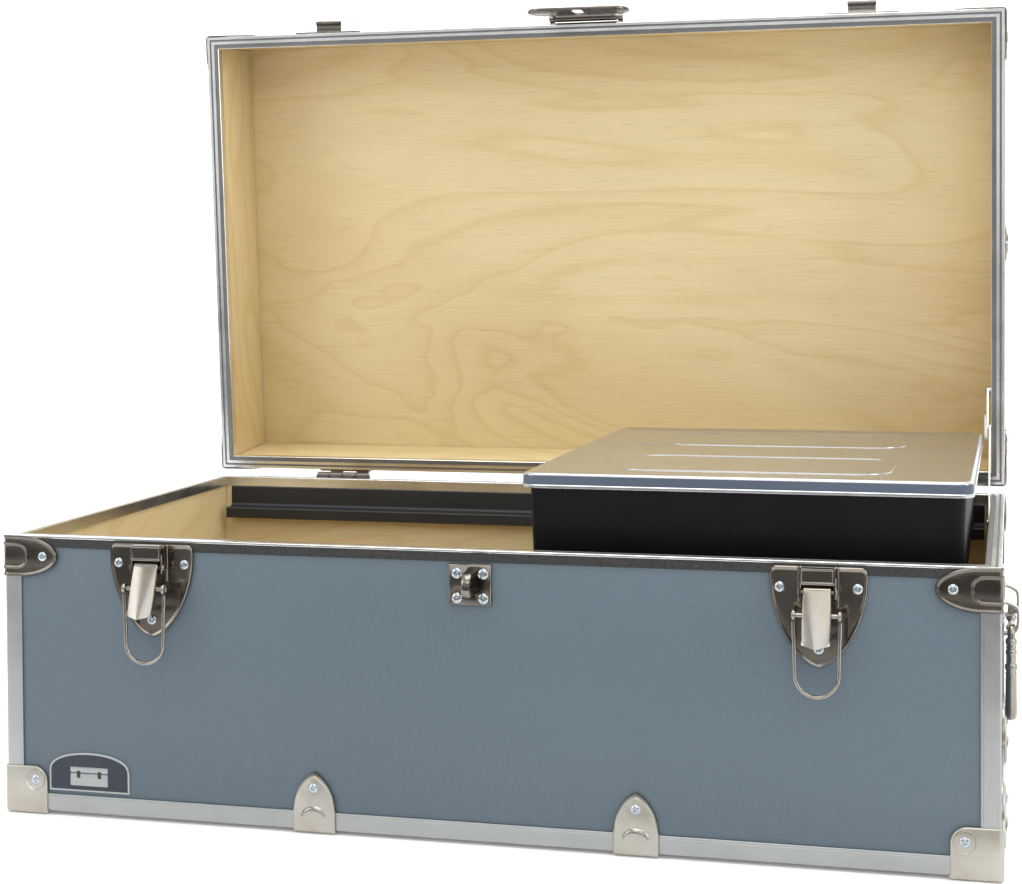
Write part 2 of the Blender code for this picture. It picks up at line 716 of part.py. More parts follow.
def make_hasp_flap(y):
    name = "hasp_flap"
    outer, inner = y - HASP_PLATE / 2, y + HASP_PLATE / 2
    slot = [(a, STAPLE_Z + b) for a, b in stadium_up(HASP_SLOT_H, HASP_SLOT_W)]
    tab = [(a, STAPLE_Z + b) for a, b in stadium(HASP_TAB_W, HASP_TAB_H)]
    obj = keep_object(name, face_plate(name, tab, outer, inner), nickel_finish(), "hasp")
    neck = HASP_NECK - 0.001
    plate = box_mesh("neck", (-neck, outer + 0.0002, STAPLE_Z), (neck, inner - 0.0002, HASP_Z))
    boolean(obj, "neck", plate, "UNION")
    barrel = rod_mesh("barrel", (-HASP_NECK, y, HASP_Z), (HASP_NECK, y, HASP_Z), HASP_BARREL)
    boolean(obj, "barrel", barrel, "UNION")
    wide = HASP_NECK + 0.002
    bore = rod_mesh("bore", (-wide, y, HASP_Z), (wide, y, HASP_Z), PIVOT_R + BORE_SLACK)
    boolean(obj, "bore", bore)
    boolean(obj, "slot", face_plate("slot", slot, outer - 0.002, inner + 0.002))


def stadium_up(height, width):
    """An upright slot's outline."""
    return [(b, a) for a, b in reversed(stadium(height, width))]


# ---------------------------------------------------------------- lid hinges
def make_hinges():
    """Two butt hinges: each leaf has every second knuckle, and the base's leaf holds the pin."""
    pitch = HINGE_W / HINGE_KNUCKLES
    near, far = CASE_D / 2 + GAP, CASE_D / 2 + GAP + LEAF
    for side, sign in SIDES:
        left = sign * HINGE_X - HINGE_W / 2
        for leaf, joint, first, reach in (("base", "trunk", 0, -1), ("lid", "lid", 1, 1)):
            name = f"{leaf}_hinge_leaf_{side}"
            a = HINGE_Z + reach * (KNUCKLE_R + 0.0008)
            b = HINGE_Z + reach * LEAF_TALL
            plate = box_mesh(name, (left, near, min(a, b)), (left + HINGE_W, far, max(a, b)))
            obj = keep_object(name, plate, nickel_finish(), joint)
            for n in range(first, HINGE_KNUCKLES, 2):
                x0, x1 = left + n * pitch + GAP / 2, left + (n + 1) * pitch - GAP / 2
                end = HINGE_Z + reach * (KNUCKLE_R + 0.003)
                tab_low, tab_high = sorted((HINGE_Z - reach * 0.0002, end))
                tab = box_mesh("tab", (x0, near, tab_low), (x1, far, tab_high))
                knuckle = rod_mesh("knuckle", (x0, HINGE_Y, HINGE_Z), (x1, HINGE_Y, HINGE_Z),
                                   KNUCKLE_R)
                boolean(obj, f"tab_{n}", tab, "UNION")
                boolean(obj, f"knuckle_{n}", knuckle, "UNION")
            ends = (left - 0.001, HINGE_Y, HINGE_Z), (left + HINGE_W + 0.001, HINGE_Y, HINGE_Z)
            if leaf == "base":
                boolean(obj, "pin", rod_mesh("pin", *ends, HINGE_PIN_R), "UNION")
            else:
                boolean(obj, "bore", rod_mesh("bore", *ends, HINGE_PIN_R + BORE_SLACK))


# ---------------------------------------------------------------- lid stay
def link_outline(a, b, half, steps=8):
    """A flat bar's outline with round ends at a and b."""
    way = math.degrees(math.atan2(b[1] - a[1], b[0] - a[0]))
    return arc(b, half, way - 90, way + 90, steps) + arc(a, half, way + 90, way + 270, steps)


def make_stay():
    """The two links of the folding stay; their shared elbow pin is left open."""
    elbow = tuple(f + (h - f) * STAY_ELBOW for f, h in zip(STAY_FOOT, STAY_HEAD))
    wall = INSIDE_X - GAP
    lower_out, lower_in = STAY_X, STAY_X - STAY_LINK
    upper_out = lower_in - STAY_STEP
    upper_in = upper_out - STAY_LINK
    name = "lid_stay_lower_link"
    mesh = side_block(name, link_outline(STAY_FOOT, elbow, STAY_HALF), lower_in, lower_out)
    obj = keep_object(name, mesh, trim_finish(), "stay_foot")
    boss = rod_mesh("boss", (lower_in + 0.0005, *STAY_FOOT), (wall, *STAY_FOOT), 0.005)
    boolean(obj, "boss", boss, "UNION")
    name = "lid_stay_upper_link"
    head, knee = shut_in_lid(STAY_HEAD), shut_in_lid(elbow)
    mesh = side_block(name, link_outline(head, knee, STAY_HALF + 0.001), upper_in, upper_out)
    obj = keep_object(name, mesh, trim_finish(), "stay_head")
    boss = rod_mesh("boss", (upper_in + 0.0005, *head), (wall, *head), 0.005)
    boolean(obj, "boss", boss, "UNION")


# ---------------------------------------------------------------- side handles
def make_handles():
    for side, sign in SIDES:
        x, z = sign * (CASE_W / 2 + HANDLE_OUT), HANDLE_Z
        make_handle_bracket(side, sign, x, z)
        make_handle_bail(side, sign, x, z)


def make_handle_bracket(side, sign, x, z):
    """A plate on the side board with two bored lugs for the handle's ends."""
    name = "handle_bracket_" + side
    board = sign * (CASE_W / 2 - SKIN + GAP)
    face = sign * (CASE_W / 2 - SKIN + GAP + PLATE)
    wide = BRACKET_Y + BRACKET_HALF + 0.004
    low, high = sorted((board, face))
    obj = keep_object(name, box_mesh(name, (low, -wide, z - 0.012), (high, wide, z + 0.029)),
                      nickel_finish())
    past = sign * 0.0005
    for end, place in ENDS:
        y = place * BRACKET_Y
        lug = [(face - past, z - 0.009), (x + sign * 0.005, z - 0.006), (x + sign * 0.0068, z),
               (x + sign * 0.0068, z + 0.008), (x + sign * 0.004, z + 0.017),
               (face - past, z + 0.026)]
        mesh = curve_mesh("lug", lug, thickness=2 * BRACKET_HALF)
        mesh.transform(Matrix.Translation((0, y, 0)) @ Matrix.Rotation(math.radians(90), 4, "X"))
        boolean(obj, "lug_" + end, mesh, "UNION")
    ends = (x, -wide - 0.01, z), (x, wide + 0.01, z)
    boolean(obj, "bore", rod_mesh("bore", *ends, HANDLE_ROD + BORE_SLACK))


def make_handle_bail(side, sign, x, z):
    """A round bar bent to a U, its ends turned in through the lugs, with a thicker grip."""
    name = "handle_bail_" + side
    half, drop, bend = HANDLE_HALF, HANDLE_DROP, HANDLE_BEND
    end = BRACKET_Y - BRACKET_HALF - 0.002
    small = 0.004
    route = [(x, -end, z), (x, -half + small, z), (x, -half, z - small)]
    route += [(x, a, b) for a, b in arc((-half + bend, z - drop + bend), bend, 180, 270, 6)]
    route += [(x, a, b) for a, b in arc((half - bend, z - drop + bend), bend, 270, 360, 6)]
    route += [(x, half, z - small), (x, half - small, z), (x, end, z)]
    obj = keep_object(name, curve_mesh(name, route, HANDLE_ROD), nickel_finish(), "handle_" + side)
    rise = z - drop + 0.040
    grip = [(x, -half, rise)]
    grip += [(x, a, b) for a, b in arc((-half + bend, z - drop + bend), bend, 180, 270, 6)]
    grip += [(x, a, b) for a, b in arc((half - bend, z - drop + bend), bend, 270, 360, 6)]
    grip += [(x, half, rise)]
    boolean(obj, "grip", curve_mesh("grip", grip, HANDLE_GRIP), "UNION")


# ---------------------------------------------------------------- tray and rails
def make_rails():
    """An L-shaped rail along the front and the back board, for the tray to slide on."""
    for end, sign in ENDS:
        name = "tray_rail_" + end
        wall = sign * (INSIDE_Y - GAP)
        inner = wall - sign * RAIL_BACK
        lip = wall - sign * RAIL_REACH
        profile = [(wall, RAIL_Z), (wall, RAIL_Z + RAIL_TALL), (inner, RAIL_Z + RAIL_TALL)]
        profile += [(inner, RAIL_Z + RAIL_LEDGE), (lip, RAIL_Z + RAIL_LEDGE), (lip, RAIL_Z)]
        keep_object(name, side_block(name, profile, -RAIL_HALF, RAIL_HALF), rail_finish())


def tapered_box(name, x, half, low, high, inset):
    """A box narrower at its low end by inset on every side."""
    bm = bmesh.new()
    bmesh.ops.create_cube(bm, size=2.0)
    for vert in bm.verts:
        sx, sy, sz = vert.co
        less = inset if sz < 0 else 0.0
        middle, reach = (x[0] + x[1]) / 2, (x[1] - x[0]) / 2
        vert.co = (middle + sx * (reach - less), sy * (half - less), high if sz > 0 else low)
    return mesh_from(bm, name)


def make_tray():
    """The open tray that slides on the rails, and its loose cover."""
    low, high = RAIL_Z + RAIL_LEDGE + GAP, TRAY_TOP - TRAY_LID_WALL - GAP
    name = "tray_box"
    obj = keep_object(name, tapered_box(name, TRAY_X, TRAY_HALF, low, high, TRAY_DRAFT),
                      rail_finish(), "tray")
    wall = TRAY_WALL
    inner_x = (TRAY_X[0] + wall, TRAY_X[1] - wall)
    top = high + 0.001
    boolean(obj, "inside", tapered_box("inside", inner_x, TRAY_HALF - wall, low + wall, top,
                                       TRAY_DRAFT))
    name = "tray_cover"
    over = TRAY_LID_OVER
    cover_x = (TRAY_X[0] - over, TRAY_X[1] + over)
    skirt = TRAY_TOP - TRAY_LID_SKIRT
    cover = tapered_box(name, cover_x, TRAY_HALF + over, skirt, TRAY_TOP, -0.0006)
    obj = keep_object(name, cover, tray_lid_finish(), "cover")
    thin = TRAY_LID_WALL
    hollow_x = (cover_x[0] + thin, cover_x[1] - thin)
    hollow = tapered_box("hollow", hollow_x, TRAY_HALF + over - thin, skirt - 0.001,
                         TRAY_TOP - thin, 0.0)
    boolean(obj, "hollow", hollow)


def shade_round_pieces():
    """Smooth shading with sharp edges kept on the curved pieces."""
    for obj in collection(PARTS).objects:
        if obj.type == "MESH":
            obj.data.shade_smooth()
            obj.data.set_sharp_from_angle(angle=math.radians(35))


def main():
    clear_scene()
    make_joints()
    make_case_boards()
    make_case_edging()
    make_rim_caps()
    make_three_way_caps()
    make_clamps()
    make_latches()
    make_staple()
    make_hasp()
    make_hinges()
    make_stay()
    make_handles()
    make_rails()
    make_tray()
    shade_round_pieces()


main()
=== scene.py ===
"""The footlocker's looks: boards, edging, nickel stampings, screws, tray, studio and camera.

Metres, +Z up. Most pieces are drawn in case coordinates, with the trunk shut: x and y from the
middle of the case, z from the floor. A body's matrix moves them to rest. Stampings are drawn flat,
as x and y on the wall with their height out of it, and are stood up or folded over an edge.
"""

import json
from math import atan2, cos, degrees, pi, radians, sin, sqrt, tau

import bmesh
import bpy
from mathutils import Matrix, Vector


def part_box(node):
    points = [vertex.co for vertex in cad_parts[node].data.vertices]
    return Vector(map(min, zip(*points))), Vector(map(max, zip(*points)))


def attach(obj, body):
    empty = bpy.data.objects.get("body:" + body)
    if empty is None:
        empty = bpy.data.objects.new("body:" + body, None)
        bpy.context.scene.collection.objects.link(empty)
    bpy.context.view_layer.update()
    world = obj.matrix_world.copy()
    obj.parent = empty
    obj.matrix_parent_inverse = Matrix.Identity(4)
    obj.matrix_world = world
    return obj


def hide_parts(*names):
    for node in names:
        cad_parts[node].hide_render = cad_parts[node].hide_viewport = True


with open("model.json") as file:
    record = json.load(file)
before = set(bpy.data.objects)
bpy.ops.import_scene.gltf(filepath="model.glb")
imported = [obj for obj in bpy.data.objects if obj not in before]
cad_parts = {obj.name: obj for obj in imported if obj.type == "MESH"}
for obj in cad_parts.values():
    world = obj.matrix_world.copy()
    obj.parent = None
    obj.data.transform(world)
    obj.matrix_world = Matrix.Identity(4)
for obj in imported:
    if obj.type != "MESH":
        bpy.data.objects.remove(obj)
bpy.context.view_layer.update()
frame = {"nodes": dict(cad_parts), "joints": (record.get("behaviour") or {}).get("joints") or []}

SIDES = (("left", -1), ("right", 1))
BOTH = (-1, 1)
CORNERS = (("front_left", -1, -1, 0), ("front_right", 1, -1, 1),
           ("back_right", 1, 1, 2), ("back_left", -1, 1, 3))
JOINTS = {joint["name"]: joint for joint in frame["joints"]}
AS_DRAWN = Matrix.Identity(4)
FLIP = Matrix.Diagonal((1, 1, -1, 1))
shift = Matrix.Translation


# ---- places
def pivot(joint):
    return Vector(JOINTS[joint]["pos_m"])


def turned_by(angle, axis="Z"):
    return Matrix.Rotation(radians(angle), 4, axis)


def about(point, angle):
    """A turn about a line through a point, along x."""
    return shift(point) @ turned_by(angle, "X") @ shift(-point)


def shut_degrees(joint):
    return JOINTS[joint]["range_deg"][0]


TRIM_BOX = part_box("base_edge_trim")
HALF_W = (TRIM_BOX[1].x - TRIM_BOX[0].x) / 2
HALF_D = (TRIM_BOX[1].y - TRIM_BOX[0].y) / 2
CASE_Y = (TRIM_BOX[1].y + TRIM_BOX[0].y) / 2
FOOT = TRIM_BOX[0].z
RIM_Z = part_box("base_rim_channel")[1].z
LID_Z = 2 * pivot("lid_hinge").z - RIM_Z
TRUNK = shift((0, CASE_Y, 0))
LID = about(pivot("lid_hinge"), shut_degrees("lid_hinge")) @ TRUNK
HASP = about(pivot("hasp_hinge"), shut_degrees("hasp_hinge")) @ LID


def case_box(node, matrix=TRUNK):
    """A CAD node's lowest and highest corners in the case coordinates of its body's matrix."""
    back = matrix.inverted()
    places = [back @ vert.co for vert in frame["nodes"][node].data.vertices]
    low = Vector([min(place[n] for place in places) for n in range(3)])
    return low, Vector([max(place[n] for place in places) for n in range(3)])


LID_TOP = case_box("lid_edge_trim", LID)[1].z
# each half's node prefix, body, matrix, way from its closed end to its rim, and the two heights
HALVES = (("base", "trunk", TRUNK, 1, FOOT, RIM_Z), ("lid", "lid", LID, -1, LID_TOP, LID_Z))
TRIM_LEG = 0.015
RIM_LEG = 0.0095
# how far the boards' outer faces and the rails' backs stand inside the case's outline
BOARD_IN = 0.0015
RAIL_IN = 0.0113
# how deep the latches' backs reach into the boards, and how far their levers rest from hanging
SUNK = 0.0012
LEVER_OPEN = 22.0


# ---- materials
class Finish:
    """A material with a Principled shader, built up with textures in the object's coordinates."""

    def __init__(self, name, colour, roughness, metallic=0.0):
        self.material = bpy.data.materials.new(name)
        self.material.use_nodes = True
        self.tree = self.material.node_tree
        self.shader = self.tree.nodes["Principled BSDF"]
        self.put(self.shader, {"Base Color": colour, "Roughness": roughness, "Metallic": metallic})
        self.place = self.tree.nodes.new("ShaderNodeTexCoord").outputs["Object"]

    def put(self, node, inputs):
        """Set a node's inputs to constants, or link them to other nodes' outputs."""
        for key, value in inputs.items():
            socket = node.inputs[key]
            if isinstance(value, bpy.types.NodeSocket):
                self.tree.links.new(value, socket)
            else:
                socket.default_value = (*value, 1.0) if socket.type == "RGBA" else value

    def node(self, kind, output, inputs, **settings):
        """One output of a new node."""
        made = self.tree.nodes.new(kind)
        for key, value in settings.items():
            setattr(made, key, value)
        self.put(made, inputs)
        return made.outputs[output]

    def stretched(self, scale, turn=(0.0, 0.0, 0.0)):
        return self.node("ShaderNodeMapping", "Vector",
                         {"Vector": self.place, "Scale": scale, "Rotation": turn})

    def noise(self, scale, detail=2.0, roughness=0.5, distortion=0.0, place=None):
        return self.node("ShaderNodeTexNoise", "Fac", {
            "Vector": place or self.place, "Scale": scale, "Detail": detail,
            "Roughness": roughness, "Distortion": distortion})

    def ramp(self, source, *stops):
        """A colour ramp through (position, grey or colour) stops."""
        made = self.node("ShaderNodeValToRGB", "Color", {"Fac": source})
        elements = made.node.color_ramp.elements
        while len(elements) < len(stops):
            elements.new(0.5)
        for element, (position, value) in zip(elements, stops):
            element.position = position
            element.color = (*value, 1.0) if isinstance(value, tuple) else (value,) * 3 + (1.0,)
        return made

    def mix(self, share, a, b, blend="MIX"):
        """Two colours blended; a Mix node's colour sockets are inputs 6 and 7 and output 2."""
        return self.node("ShaderNodeMix", 2, {0: share, 6: a, 7: b}, data_type="RGBA", blend_type=blend)

    def times(self, a, b):
        return self.mix(1.0, a, b, "MULTIPLY")

    def colour(self, source):
        self.put(self.shader, {"Base Color": source})

    def tint(self, colour, source, *stops):
        self.colour(self.times(colour, self.ramp(source, *stops)))

    def rough(self, source, low, high):
        self.put(self.shader, {"Roughness": self.ramp(source, (0.3, low), (0.7, high))})

    def bump(self, source, distance):
        bumpy = self.node("ShaderNodeBump", "Normal", {"Height": source, "Distance": distance})
        self.put(self.shader, {"Normal": bumpy})


def drawn_out(axis, across, along):
    """A texture scale that is different along one axis."""
    return [along if name == axis else across for name in "XYZ"]


def laminate():
    """Blue-grey laminate with a very fine speckle and a soft sheen."""
    base = (0.094, 0.129, 0.158)
    made = Finish("laminate", base, 0.46)
    speckle = made.ramp(made.noise(1400.0, 1.0), (0.35, 0.93), (0.65, 1.06))
    cloud = made.ramp(made.noise(4.0, 3.0), (0.3, 0.97), (0.7, 1.03))
    made.colour(made.times(made.times(base, speckle), cloud))
    made.rough(made.noise(60.0, 4.0), 0.4, 0.52)
    made.bump(made.noise(900.0, 2.0), 0.00006)
    return made.material


def birch(axis):
    """Rotary-cut birch: wavy growth lines along an axis, fine fibres, pores and cloudy tone."""
    made = Finish("birch_along_" + axis.lower(), (0.72, 0.56, 0.33), 0.48)
    made.put(made.shader, {"Specular IOR Level": 0.25})
    broad = made.stretched(drawn_out(axis, 3.0, 1.0))
    fine = made.stretched(drawn_out(axis, 900.0, 16.0))
    wave = made.noise(1.5, 3.0, 0.45, 1.3, broad)
    many = made.node("ShaderNodeMath", "Value", {0: wave, 1: 11.0}, operation="MULTIPLY")
    rings = made.node("ShaderNodeMath", "Value", {0: many}, operation="FRACT")
    dark, dim = (0.925, 0.89, 0.82), (0.965, 0.95, 0.92)
    lines = made.ramp(rings, (0.0, dark), (0.16, 1.0), (0.6, 0.99), (0.88, dim), (1.0, dark))
    fibre = made.ramp(made.noise(1.0, 2.0, 0.6, 0.0, fine), (0.35, 0.955), (0.65, 1.02))
    pale, deep = (0.76, 0.645, 0.385), (0.67, 0.52, 0.29)
    tone = made.ramp(made.noise(1.3, 4.0, 0.5, 0.6, broad), (0.32, pale), (0.74, deep))
    wood = made.times(made.times(tone, lines), fibre)
    specks = made.noise(1.0, 0.0, 0.5, 0.0, made.stretched(drawn_out(axis, 420.0, 40.0)))
    pores = made.ramp(specks, (0.24, 0.91), (0.31, 1.0))
    made.colour(made.mix(0.7, wood, made.times(wood, pores)))
    made.rough(made.noise(30.0, 3.0), 0.4, 0.56)
    made.bump(made.noise(1.0, 3.0, 0.6, 0.0, fine), 0.00008)
    return made.material


def ply_edge():
    """The boards' edges: end grain in two tones."""
    made = Finish("ply_edge", (0.6, 0.44, 0.24), 0.6)
    grain = made.noise(700.0, 2.0)
    made.colour(made.ramp(grain, (0.3, (0.48, 0.33, 0.17)), (0.7, (0.68, 0.52, 0.3))))
    made.bump(grain, 0.00015)
    return made.material


def brushed(name, colour, low, high):
    """Metal with brush lines along x and a faint haze."""
    made = Finish(name, colour, (low + high) / 2, 1.0)
    streak = made.noise(1.0, 2.0, 0.5, 0.0, made.stretched(drawn_out("X", 1500.0, 12.0)))
    haze = made.noise(35.0, 3.0)
    made.tint(colour, haze, (0.3, 0.94), (0.7, 1.04))
    made.rough(made.mix(0.5, streak, haze), low, high)
    made.bump(streak, 0.00003)
    return made.material


def hammered():
    """The rim's grey skin, with a fine pebbled texture."""
    colour = (0.085, 0.085, 0.083)
    made = Finish("hammered_rim", colour, 0.4, 1.0)
    grain = made.noise(1100.0, 2.0, 0.6)
    made.tint(colour, grain, (0.36, 0.72), (0.64, 1.22))
    made.rough(made.noise(300.0), 0.32, 0.5)
    made.bump(grain, 0.00028)
    return made.material


def plated(name, colour, low, high):
    """Nickel plate on pressed steel: soft stains, fine scratches and a little waviness."""
    made = Finish(name, colour, (low + high) / 2, 1.0)
    stain = made.noise(45.0, 4.0, 0.6, 0.4)
    warm = tuple(channel * shade for channel, shade in zip(colour, (0.9, 0.86, 0.8)))
    made.colour(made.ramp(stain, (0.36, warm), (0.6, colour)))
    scratch = made.noise(1.0, 2.0, 0.5, 0.0, made.stretched((260.0, 1900.0, 2200.0), (0.3, 0.2, 0.5)))
    made.rough(made.mix(0.45, stain, scratch), low, high)
    made.bump(made.mix(0.25, made.noise(120.0), scratch), 0.00005)
    return made.material


def moulded(name, colour, low, high, grain=700.0, depth=0.00008, sheen=0.5):
    """Moulded plastic with a fine grain."""
    made = Finish(name, colour, (low + high) / 2)
    made.put(made.shader, {"Specular IOR Level": sheen})
    made.rough(made.noise(24.0, 3.0), low, high)
    made.tint(colour, made.noise(6.0), (0.3, 0.92), (0.7, 1.06))
    made.bump(made.noise(grain), depth)
    return made.material


def silver_cover():
    """The cover's silver-filled plastic: a soft metallic sheen with faint flow lines."""
    colour = (0.56, 0.57, 0.58)
    made = Finish("silver_cover", colour, 0.3, 0.95)
    flow = made.noise(3.0, 3.0, 0.5, 0.8, made.stretched((1.0, 5.0, 1.0)))
    made.tint(colour, flow, (0.3, 0.95), (0.7, 1.04))
    made.rough(made.noise(7.0), 0.23, 0.29)
    made.bump(made.noise(160.0, 1.0), 0.00002)
    return made.material


LAMINATE = laminate()
BIRCH_X, BIRCH_Y, BIRCH_Z = (birch(axis) for axis in "XYZ")
PLY_EDGE = ply_edge()
ALUMINIUM = brushed("satin_aluminium", (0.405, 0.415, 0.415), 0.3, 0.44)
BRIGHT_RIM = brushed("bright_rim", (0.92, 0.92, 0.91), 0.16, 0.28)
# a dark copy of the rim's metal for the grooves: painted shade
GROOVE_PAINTED_SHADE = brushed("groove_painted_shade", (0.24, 0.24, 0.24), 0.35, 0.5)
HAMMERED = hammered()
DARK_NICKEL = plated("dark_nickel", (0.26, 0.24, 0.215), 0.11, 0.21)
# a darker copy of the nickel, only for the rim caps: painted shade and painted dark reflection
SHADED_CAP_NICKEL = plated("cap_nickel_painted_shade", (0.175, 0.161, 0.143), 0.11, 0.21)
# a lighter copy of the same nickel for the base's foot caps, bottom edge clamps and handle brackets: painted
# light
LIT_NICKEL = plated("nickel_painted_light", (0.49, 0.475, 0.43), 0.3, 0.44)
LEVER_NICKEL = plated("lever_nickel", (0.36, 0.34, 0.305), 0.16, 0.28)
ZINC = plated("zinc_screw", (0.5, 0.56, 0.62), 0.16, 0.26)
BLACK_PLASTIC = moulded("black_plastic", (0.01, 0.0105, 0.012), 0.36, 0.5)
TRAY_BLACK = moulded("tray_black", (0.006, 0.006, 0.008), 0.42, 0.6, 420.0, 0.00014, 0.12)
SILVER_COVER = silver_cover()
# the cover's skirt in dark blue: a painted reflection on the silver moulding
COVER_SKIRT_PAINTED_REFLECTION = moulded("cover_skirt_painted_reflection", (0.08, 0.1, 0.135), 0.28, 0.38, 300.0, 0.00003, 0.35)
WHITE_NYLON = moulded("white_nylon", (0.6, 0.59, 0.55), 0.35, 0.5)
BADGE_DARK = moulded("badge_dark", (0.016, 0.022, 0.036), 0.22, 0.32)


# ---- mesh helpers
def skin(bm, rings, material=0):
    """Quads between neighbouring rings of vertices."""
    for a, b in zip(rings, rings[1:]):
        for n in range(len(a)):
            m = (n + 1) % len(a)
            bm.faces.new((a[n], a[m], b[m], b[n])).material_index = material


def cap(bm, ring, material=0):
    bm.faces.new(ring).material_index = material


def close(bm, rings, material=0):
    """A closed body through rings, capped at both ends."""
    skin(bm, rings, material)
    cap(bm, rings[0][::-1], material)
    cap(bm, rings[-1], material)


def ring_of(bm, places):
    return [bm.verts.new(place) for place in places]


def circle(bm, middle, side, up, radius, sides):
    turns = [tau * k / sides for k in range(sides)]
    return ring_of(bm, [middle + (side * cos(a) + up * sin(a)) * radius for a in turns])


def arc(centre, radius, start, end, steps):
    """Points on an arc, with both ends, angles in degrees."""
    angles = [radians(start + (end - start) * n / steps) for n in range(steps + 1)]
    return [Vector((centre[0] + radius * cos(a), centre[1] + radius * sin(a))) for a in angles]


def rounded(width, height, radius, centre=(0.0, 0.0), steps=5):
    """A rectangle's outline with round corners, counter-clockwise."""
    x, y = width / 2 - radius, height / 2 - radius
    outline = []
    for cx, cy, start in ((x, -y, -90), (x, y, 0), (-x, y, 90), (-x, -y, 180)):
        outline += arc((centre[0] + cx, centre[1] + cy), radius, start, start + 90, steps)
    return outline


def inset(outline, distance):
    """A counter-clockwise outline moved inward, its corners mitred."""
    outline = [Vector(place) for place in outline]
    moved = []
    for n, here in enumerate(outline):
        before, after = outline[n - 1], outline[(n + 1) % len(outline)]
        first, second = (here - before).normalized(), (after - here).normalized()
        a, b = Vector((-first.y, first.x)), Vector((-second.y, second.x))
        middle = (a + b).normalized()
        moved.append(here + middle * (distance / max(middle.dot(a), 0.4)))
    return moved


def join(bm, other, material=None):
    """Add another bmesh's bodies to a bmesh, and free it."""
    mesh = bpy.data.meshes.new("joined")
    other.to_mesh(mesh)
    other.free()
    first = len(bm.faces)
    bm.from_mesh(mesh)
    bpy.data.meshes.remove(mesh)
    bm.faces.ensure_lookup_table()
    if material is not None:
        for face in bm.faces[first:]:
            face.material_index = material


def stacked(bm, outline, levels):
    """A ring of an outline at each (inset, height) in mm."""
    return [ring_of(bm, [(p.x, p.y, height * 0.001) for p in inset(outline, distance * 0.001)])
            for distance, height in levels]


def pad(bm, outline, levels, material=0):
    """A closed body on an outline, through (inset, height) levels in mm."""
    close(bm, stacked(bm, outline, levels), material)


def screw(bm, x, y, turn, height=0.95, radius=0.0039):
    """A domed screw head with a cross recess, on a plate at height (mm)."""
    arms = radians(turn)
    segments, half_arm, reach, base = 32, 0.16, 0.56, height * 0.001
    rings = []
    for share in (0.14, 0.24, 0.34, 0.44, 0.52, 0.6, 0.72, 0.86, 0.96, 1.0):
        ring = []
        for n in range(segments):
            a = tau * n / segments
            px, py = share * cos(a), share * sin(a)
            ax = abs(px * cos(arms) + py * sin(arms))
            ay = abs(py * cos(arms) - px * sin(arms))
            dome = 0.0017 * sqrt(max(1.0 - 0.92 * share * share, 0.0))
            if min(ax, ay) < half_arm and max(ax, ay) < reach:
                dome -= 0.0011 * (1 - max(ax, ay) / reach * 0.5)
            ring.append((x + radius * px, y + radius * py, base + dome))
        rings.append(ring_of(bm, ring))
    foot = ring_of(bm, [(v.co.x, v.co.y, base - 0.0008) for v in rings[-1]])
    centre = bm.verts.new((x, y, base + 0.0006))
    for n in range(segments):
        cap(bm, (centre, rings[0][n], rings[0][(n + 1) % segments]), 1)
    skin(bm, rings + [foot], 1)
    cap(bm, foot, 1)


def tube(bm, route, radius, sides):
    """A round bar along a route of points; radius may be a function of the share of its length."""
    rings, side = [], None
    last = len(route) - 1
    for n, place in enumerate(route):
        ahead = (route[min(n + 1, last)] - route[max(n - 1, 0)]).normalized()
        side = ahead.orthogonal() if side is None else side - ahead * side.dot(ahead)
        side.normalize()
        r = radius(n / last) if callable(radius) else radius
        rings.append(circle(bm, place, side, ahead.cross(side), r, sides))
    close(bm, rings)


def strap(bm, path, across, edge, flat):
    """A strap along a bent path; edge and flat are its section's (half width, half thickness)."""
    section = [(-edge[0], -edge[1]), (-flat[0], -flat[1]), (flat[0], -flat[1]), (edge[0], -edge[1])]
    section += [(a, -b) for a, b in reversed(section)]
    last = len(path) - 1
    rings = []
    for n, place in enumerate(path):
        out = (path[min(n + 1, last)] - path[max(n - 1, 0)]).normalized().cross(across)
        rings.append(ring_of(bm, [place + across * a + out * b for a, b in section]))
    close(bm, rings)


def flowing(points, steps):
    """A smooth route through points."""
    points = [Vector(p) for p in points]
    ends = [2 * points[0] - points[1]] + points + [2 * points[-1] - points[-2]]
    route = []
    for a, b, c, d in zip(ends, ends[1:], ends[2:], ends[3:]):
        for n in range(steps):
            t = n / steps
            route.append(0.5 * (2 * b + (c - a) * t + (2 * a - 5 * b + 4 * c - d) * t * t
                                + (3 * b - a - 3 * c + d) * t ** 3))
    return route + [points[-1]]


def turned(bm, start, end, profile, material=0):
    """A turned body from start to end: rings at (share of its length, radius)."""
    start, along = Vector(start), Vector(end) - Vector(start)
    side = along.orthogonal().normalized()
    up = along.normalized().cross(side)
    close(bm, [circle(bm, start + along * share, side, up, radius, 24) for share, radius in profile],
          material)


def barrel(radius, end_radius=None, share=0.0):
    """A turned profile of one radius, narrower at its ends."""
    if end_radius is None:
        return (0, radius), (1, radius)
    return (0, end_radius), (share, radius), (1 - share, radius), (1, end_radius)


def along_x(bm, axis, low, high, profile, material=0):
    """A turned body from x = low to x = high, round an axis at the point's y and z."""
    turned(bm, (low, axis.y, axis.z), (high, axis.y, axis.z), profile, material)


def extruded(bm, profile, low, high, place):
    """A profile of 2-D points run from low to high; place(a, b, run) gives each vertex."""
    close(bm, [ring_of(bm, [place(a, b, run) for a, b in profile]) for run in (low, high)])


def swept_frame(bm, profile, z, up, materials):
    """A profile of (inward, height) in mm swept round the case, mitred at its four corners."""
    rings = []
    for inward, height in profile:
        x, y = HALF_W - inward * 0.001, HALF_D - inward * 0.001
        at = z + up * height * 0.001
        rings.append(ring_of(bm, [(-x, -y, at), (x, -y, at), (x, y, at), (-x, y, at)]))
    for n, material in enumerate(materials):
        skin(bm, (rings[n], rings[(n + 1) % len(rings)]), material)


